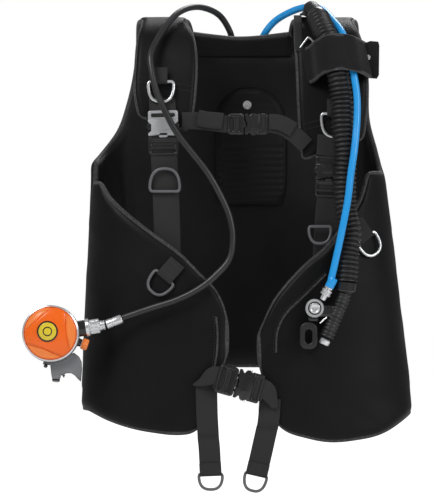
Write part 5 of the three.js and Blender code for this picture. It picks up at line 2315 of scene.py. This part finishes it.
    def fittings(self) -> None:
        """Threads and hexes of the two hose ends behind the back."""
        for node, tip in (("inflator_hose_end", (22, 22, 60)), ("regulator_hose_end", (-14, 22, 62))):
            start = mm(*tip) + Vector((0, 0, -0.4 * MM))
            ferrule = turned(
                f"{node}_ferrule",
                [(0, 0), (5.4, 0), (6, 0.8), (6, 3), (5.5, 3.4), (6, 3.8), (6, 6.4), (5.6, 7), (0, 7)], start,
                DOWNWARD, STEEL, 32
            )
            nut = turned(
                f"{node}_nut", [(0, 7), (6.6, 7), (7.4, 7.8), (7.4, 15.4), (6.6, 16.2), (0, 16.2)], start,
                DOWNWARD, STEEL, 6
            )
            thread = [(0, 16.2)] + [(4.5 - 0.5 * (k % 2), 16.4 + 0.8 * k) for k in range(11)] + [(0, 25)]
            screw = turned(f"{node}_thread", thread, start, DOWNWARD, STEEL, 28)
            keep(joined(f"{node}_fitting", [ferrule, nut, screw]), node)


# ---- regulator ----


@dataclass
class Regulator:
    """The black hose and the second stage at its end."""

    hose_diameter: float = 9.0
    hose_length: float = 0.88
    x: float = -267.0
    y: float = -239.0
    z: float = -235.0
    radius: float = 37.0
    dome: float = 36.8
    rows: tuple[tuple[float, float, float], ...] = (
        (-14, 22, 62), (-14, 21, 100), (-13, 12, 142), (-13, -13, 170),
        (-14, -33, 185), (-20, -37, 200), (-32, -47, 216), (-60, -84, 226), (-88, -130, 217),
        (-106, -160, 197), (-120, -182, 174), (-128, -198, 153), (-126, -207, 130), (-120, -213, 104),
        (-108.5, -219, 77), (-92, -223, 46), (-70, -225, 17), (-49, -226, -10), (-31, -227, -41),
        (-17, -229, -74), (-13, -231, -104), (-18, -234, -132), (-38, -238, -155), (-59, -239, -172),
        (-90, -238, -188), (-127, -235, -200), (-166.3, -227.5, -213.4),
    )

    @property
    def centre(self) -> Vector:
        """The middle of the case's front rim."""
        return mm(self.x, self.y, self.z)

    @property
    def inlet(self) -> Vector:
        """The way the hose leaves the case."""
        return Vector((0.988, 0, 0.152)).normalized()

    @property
    def knob_axis(self) -> Vector:
        """The adjuster's axis."""
        return Vector((0.95, 0, -0.31)).normalized()

    def hose(self) -> None:
        """The hose, declared as a cord."""
        path = resampled(catmull(points_mm(*self.rows), 12), 4 * MM)[::-1]
        line = tube("regulator_rubber_hose", path, lambda s: self.hose_diameter / 2 * MM, HOSE, 20)
        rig.cord(
            line, exit=path[0], length=self.hose_length, diameter=self.hose_diameter * MM, far_end="fitting",
            stiffness="medium", lay="loose", path=path, with_pieces=["regulator_hose_end_fitting"]
        )
        keep(line, "regulator_hose")

    def case(self) -> None:
        """The case with its inlet, adjuster boss and silver rim."""
        r = self.radius
        bowl_profile = [
            (0, 0), (r, 0), (r, 3), (r - 0.8, 3.6), (r - 0.8, 5), (r, 5.6), (r, 9), (r - 1.2, 14),
            (r - 4, 20), (r - 9, 26.5), (r - 15, 31), (r - 20, 33.4), (0, 34)
        ]
        bowl = turned("stage_bowl", bowl_profile, self.centre, BACKWARD, BLACK, 72)
        start = self.centre + mm(0, 12, 0) + self.inlet * ((r - 8) * MM)
        inlet = turned(
            "stage_inlet", [(0, 0), (12, 0), (12, 6), (11.2, 8), (11.2, 18), (10.6, 20), (0, 20)], start,
            self.inlet, BLACK, 40
        )
        boss_start = self.centre + mm(0, 12, 0) + self.knob_axis * ((r - 8) * MM)
        boss = turned(
            "stage_boss", [(0, 0), (6.2, 0), (6.2, 12), (5.5, 13), (5.5, 16), (0, 16)], boss_start,
            self.knob_axis, BLACK, 32
        )
        keep(joined("stage_case", [bowl, inlet, boss]), "stage_body", body="second_stage")
        rim = [
            (r - 1, 0.1), (r + 2.2, 0.1), (r + 2.8, 0.7), (r + 2.8, 4.6), (r + 2.2, 5.2), (r - 0.2, 5.2),
            (r - 1, 0.1)
        ]
        keep(
            turned("stage_rim", rim, self.centre + mm(0.9, 0, -0.8), BACKWARD, DARK_STEEL, 72),
            body="second_stage"
        )

    def height(self, r: float, turn: float) -> float:
        """Height of the cover's face above its base, in millimetres.

        Args:
            r: distance from the middle in millimetres.
            turn: angle in radians.

        Returns:
            The height in millimetres.
        """
        share = r / self.dome
        dome = 5.2 + 7.0 * (1 - share**2.4)
        edge = self.groove(turn)
        groove = exp(-(((r - edge) / 0.85) ** 2)) * 1.7
        facet = 1.5 / (1 + exp(-(r - edge) / 0.9)) * min(1.0, (self.dome - r) / 5.0)
        return dome - groove - facet

    @staticmethod
    def groove(turn: float) -> float:
        """Distance from the middle to the nearest groove at an angle, in millimetres."""
        nearest = min(abs((turn - radians(at) + pi) % (tau) - pi) for at in (6, 131, 250))
        return 24.0 / max(0.35, cos(nearest)) + 2.0 * nearest

    @staticmethod
    def skew(share: float) -> Vector:
        """How far the raised middle sits off centre at a share of the radius."""
        return mm(-3.8, 0, 2.8) * (1 - share * share)

    def cover_plate(self) -> None:
        """The soft purge cover: a dome with three curved grooves, and its generic yellow disc."""
        base = self.centre + Vector((0, -2.9 * MM, 0))
        rings_count, sides = 44, 120
        verts, faces = [base + Vector((0, -self.height(0, 0) * MM, 0))], []
        verts[0] = verts[0] + self.skew(0)
        radii = [self.dome * (k + 1) / rings_count for k in range(rings_count)]
        for r in radii:
            for k in range(sides):
                turn = tau * k / sides
                fall = max(0.0, (r - self.dome + 2.2) / 2.2)
                lift = self.height(r, turn) - 1.6 * fall * fall
                verts.append(base + self.skew(r / self.dome) + mm(r * cos(turn), -lift, r * sin(turn)))
        for k in range(sides):
            faces.append((0, 1 + k, 1 + (k + 1) % sides))
        for ring in range(rings_count - 1):
            for k in range(sides):
                a, b = 1 + ring * sides + k, 1 + ring * sides + (k + 1) % sides
                faces.append((a, a + sides, b + sides, b))
        start = len(verts)
        for k in range(sides):
            turn = tau * k / sides
            verts.append(base + mm(self.dome * cos(turn), 0, self.dome * sin(turn)))
        last = 1 + (rings_count - 1) * sides
        for k in range(sides):
            faces.append((last + k, start + k, start + (k + 1) % sides, last + (k + 1) % sides))
        faces.append(tuple(range(start, start + sides)))
        dome = object_of("purge_dome", verts, faces, ORANGE, PALE_ORANGE)
        for polygon in dome.data.polygons:
            spot = (polygon.center - base) / MM
            off = self.skew(min(1.0, hypot(spot.x, spot.z) / self.dome)) / MM
            x, z = spot.x - off.x, spot.z - off.z
            facet = self.groove(atan2(z, x)) + 0.9 < hypot(x, z) < self.dome - 1.4
            polygon.material_index = 1 if facet else 0
        fair(dome, 50)
        keep(dome, "purge_cover", body="purge")
        band = [
            (36.9, 0.2), (36.9, 4.4), (37.6, 5.0), (38.4, 4.6), (38.6, 3.2), (39.4, 2.8), (39.4, 0.2),
            (36.9, 0.2)
        ]
        keep(turned("purge_bezel", band, base, FORWARD, STEEL, 96), body="purge")
        top = base + self.skew(0) + Vector((0, -(self.height(0, 0) - 0.9) * MM, 0))
        black = turned(
            "purge_disc_ring", [(0, 0), (14.6, -1.0), (14.6, 0.9), (13.9, 1.5), (0, 1.5)], top, FORWARD,
            BLACK, 56
        )
        yellow = turned(
            "purge_disc", [(0, 1.2), (12.4, 1.2), (12.4, 1.9), (11.9, 2.2), (0, 2.4)], top, FORWARD, YELLOW,
            56
        )
        mark = turned(
            "purge_disc_mark", [(5.2, 2.2), (6.6, 2.15), (6.6, 2.6), (5.2, 2.65), (5.2, 2.2)], top, FORWARD,
            BLACK, 48
        )
        keep(joined("purge_centre", [black, yellow, mark]), body="purge")

    def fittings(self) -> None:
        """The swivel, ferrule and adjuster knob."""
        middle = self.centre + mm(0, 12, 0)
        end = middle + self.inlet * ((self.radius + 12.4) * MM)
        collar = turned(
            "swivel_collar", [(0, 0), (12, 0), (12.4, 0.8), (12.4, 4.6), (11.6, 5.6), (9.5, 6), (0, 6)], end,
            self.inlet, STEEL, 48
        )
        grip = turned(
            "swivel_grip", [(0, 6), (9.6, 6), (10.2, 6.8), (10.2, 18.6), (9.4, 19.6), (7, 20.4), (0, 20.4)],
            end, self.inlet, STEEL, 96, ribs=16, rib=0.8
        )
        neck = turned(
            "swivel_neck", [(0, 20), (7, 20), (7, 23), (6.2, 23.8), (6.2, 25), (7, 25.6), (7, 27), (0, 27)],
            end, self.inlet, STEEL, 40
        )
        keep(joined("hose_swivel_nut", [collar, grip, neck]), "hose_swivel")
        axis = Vector((0.93, -0.02, 0.36)).normalized()
        start = end + self.inlet * (29.4 * MM)
        ferrule = [
            (0, 0), (5.8, 0), (6.4, 0.8), (6.4, 8), (5.9, 8.6), (5.9, 10), (6.4, 10.6), (6.4, 21), (5.4, 23),
            (0, 23)
        ]
        keep(turned("hose_ferrule_crimp", ferrule, start, axis, STEEL, 40), "hose_ferrule")
        knob_base = middle + self.knob_axis * ((self.radius + 8.4) * MM)
        knob = turned(
            "adjuster_grip", [(0, 0), (7.2, 0), (8, 0.9), (8, 7.2), (7, 8.8), (5, 9.4), (0, 9.5)], knob_base,
            self.knob_axis, PALE_ORANGE, 64, ribs=12, rib=0.8
        )
        keep(knob, "adjuster_knob", body="adjuster")

    def exhaust(self) -> None:
        """The exhaust tee with its band, and the bite mouthpiece."""
        outline = [
            (-0.9, -41.5), (0.9, -57.8), (2.0, -63.5), (12.8, -64), (14, -59.5), (21.9, -56), (28.9, -56),
            (34.1, -59.5), (38.6, -64.8), (42.0, -67.4), (43.4, -50.8), (42.9, -40.3), (39.4, -33.3),
            (32.4, -27.5), (20, -32), (8, -38),
        ]
        body = moulded("tee_body", outline, [], 0, 26, 2.6, GREY)
        arc = [radians(-104 + 59 * k / 14) for k in range(15)]
        band_outline = [(44.6 * cos(t), 44.6 * sin(t)) for t in arc] + [
            (37 * cos(t), 37 * sin(t)) for t in arc[::-1]
        ]
        band = moulded("tee_band", band_outline, [], -1.6, 27.0, 1.2, GREY)
        ribs = [
            moulded(
                "tee_rib", rounded(41.2 * cos(t), 41.2 * sin(t), 1.3, 5.4, 0.6), [], 26.4, 27.6, 0.4,
                DARK_STEEL
            )
            for t in arc[1:-1:2]
        ]
        peg = moulded("tee_peg", [(16, -58.2), (20.4, -57.6), (18.6, -62.5)], [], 20, 27, 0.5, BLACK)
        tee = joined("exhaust_tee_moulding", [body, band, *ribs, peg])
        placed(tee, self.centre + mm(0, 30, 0), RIGHTWARD, UPWARD)
        cap = turned(
            "tee_end_cap", [(0, 0), (5.0, 0), (5.4, 1), (5.4, 5), (4.4, 5.8), (0, 6)],
            self.centre + mm(7.6, 14, -62), Vector((-0.1, -0.25, -1)), BLACK, 32
        )
        nub = turned(
            "tee_side_nub", [(0, 0), (2.6, 0), (2.6, 3), (0, 3.4)], self.centre + mm(-6.1, 4, -44.6),
            Vector((-0.4, -0.5, -0.6)), BLACK, 24
        )
        keep(joined("tee_ends", [cap, nub]), body="second_stage")
        keep(tee, "exhaust_tee", body="second_stage")
        rear = mm(self.x, self.y + 34 + 26.4, self.z)
        barrel = moulded(
            "bite_barrel", rounded(0, 0, 36, 19, 9, 8), [rounded(0, 0, 31, 14, 6.8, 8)], 8, 26, 0.8, RUBBER
        )
        flange = moulded(
            "bite_flange", rounded(0, 0, 40, 22, 10, 8), [rounded(0, 0, 31, 14, 6.8, 8)], 4, 8.4, 1.4, RUBBER
        )
        tabs = [
            moulded("bite_tab", rounded(sign * 14.5, 0, 9, 13, 4), [], 0, 5, 1.2, RUBBER) for sign in (-1, 1)
        ]
        bite = joined("bite_mouthpiece_rubber", [barrel, flange, *tabs])
        placed(bite, rear, RIGHTWARD, UPWARD)
        keep(bite, "bite_mouthpiece", body="second_stage")

    def build(self) -> None:
        """Makes the regulator."""
        self.hose()
        self.case()
        self.cover_plate()
        self.fittings()
        self.exhaust()


# ---- studio ----


@dataclass
class Studio:
    """Camera, lights, a pale floor and a white surround."""

    distance: float = 8.0
    view_height: float = 0.693
    middle: tuple[float, float] = (-0.0343, -0.1155)
    plane_y: float = -0.2
    ambient: float = 0.24
    sensor: float = 36.0
    floor_z: float = -0.75
    floor_reach: float = 14.0

    def camera(self) -> None:
        """A long-lens camera straight in front."""
        data = bpy.data.cameras.new("camera")
        data.sensor_width = self.sensor
        data.lens = self.sensor * self.distance / self.view_height
        data.clip_end = 60.0
        holder = bpy.data.objects.new("camera", data)
        holder.location = (self.middle[0], self.plane_y - self.distance, self.middle[1])
        holder.rotation_euler = (radians(90), 0, 0)
        bpy.context.scene.collection.objects.link(holder)
        bpy.context.scene.camera = holder

    def lamp(self, name: str, place: tuple[float, float, float], size: float, watts: float) -> None:
        """A square area lamp aimed at the vest.

        Args:
            name: the lamp's name.
            place: where it stands, in metres.
            size: its side in metres.
            watts: its power.
        """
        data = bpy.data.lights.new(name, "AREA")
        data.size, data.energy = size, watts
        holder = bpy.data.objects.new(name, data)
        holder.location = place
        aim = Vector((self.middle[0], -0.12, self.middle[1])) - Vector(place)
        holder.rotation_euler = aim.to_track_quat("-Z", "Y").to_euler()
        bpy.context.scene.collection.objects.link(holder)

    def floor(self) -> None:
        """A wide pale floor below the vest."""
        white = Finish("studio_white", (0.93, 0.93, 0.93), Texture.MOULDED, 0.9, relief=0.0, variation=0.0)
        corners = ((-1, -1), (1, -1), (1, 1), (-1, 1))
        verts = [Vector((x * self.floor_reach, y * self.floor_reach, self.floor_z)) for x, y in corners]
        floor = object_of("studio_floor", verts, [(0, 1, 2, 3)], white)
        self.brighten(floor.data.materials[0])
        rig.stage(floor)

    @staticmethod
    def brighten(material: bpy.types.Material) -> None:
        """Keeps the floor white in the picture without lighting the vest any more.

        Args:
            material: the floor's material.
        """
        tree = material.node_tree
        shader = tree.nodes["Principled BSDF"]
        shader.inputs["Emission Color"].default_value = (1, 1, 1, 1)
        rays = tree.nodes.new("ShaderNodeLightPath")
        tree.links.new(rays.outputs["Is Camera Ray"], shader.inputs["Emission Strength"])

    def build(self) -> None:
        """Makes the studio."""
        self.camera()
        self.floor()
        world = bpy.data.worlds.new("studio")
        world.use_nodes = True
        tree = world.node_tree
        tree.nodes["Background"].inputs[0].default_value = (1, 1, 1, 1)
        rays = tree.nodes.new("ShaderNodeLightPath")
        level = tree.nodes.new("ShaderNodeMapRange")
        level.inputs["To Min"].default_value = self.ambient
        tree.links.new(rays.outputs["Is Camera Ray"], level.inputs["Value"])
        tree.links.new(level.outputs[0], tree.nodes["Background"].inputs[1])
        bpy.context.scene.world = world
        self.lamp("key", (-1.7, -2.2, 2.3), 1.3, 62)
        self.lamp("fill", (2.4, -2.0, 1.1), 1.5, 36)
        self.lamp("rim", (0.6, 2.0, 2.2), 1.4, 40)
        bpy.context.scene.view_settings.view_transform = "Standard"


def main() -> None:
    """Builds every assembly in order and writes the two boxes."""
    cad_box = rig.bounds()
    Studio().build()
    InflatorLine().build()
    Regulator().build()
    for lobe in sewn_lobes():
        lobe.build()
    BackShell().build()
    for panel in shoulder_panels():
        panel.build()
    Harness().build()
    Carrier().build()
    own_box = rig.bounds()
    with open("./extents.json", "w", encoding="utf-8") as out:
        json.dump({"cad": [list(c) for c in cad_box], "visual": [list(c) for c in own_box]}, out)
    LOG.info("done: %s to %s", own_box[0], own_box[1])


if __name__ == "__main__":
    main()
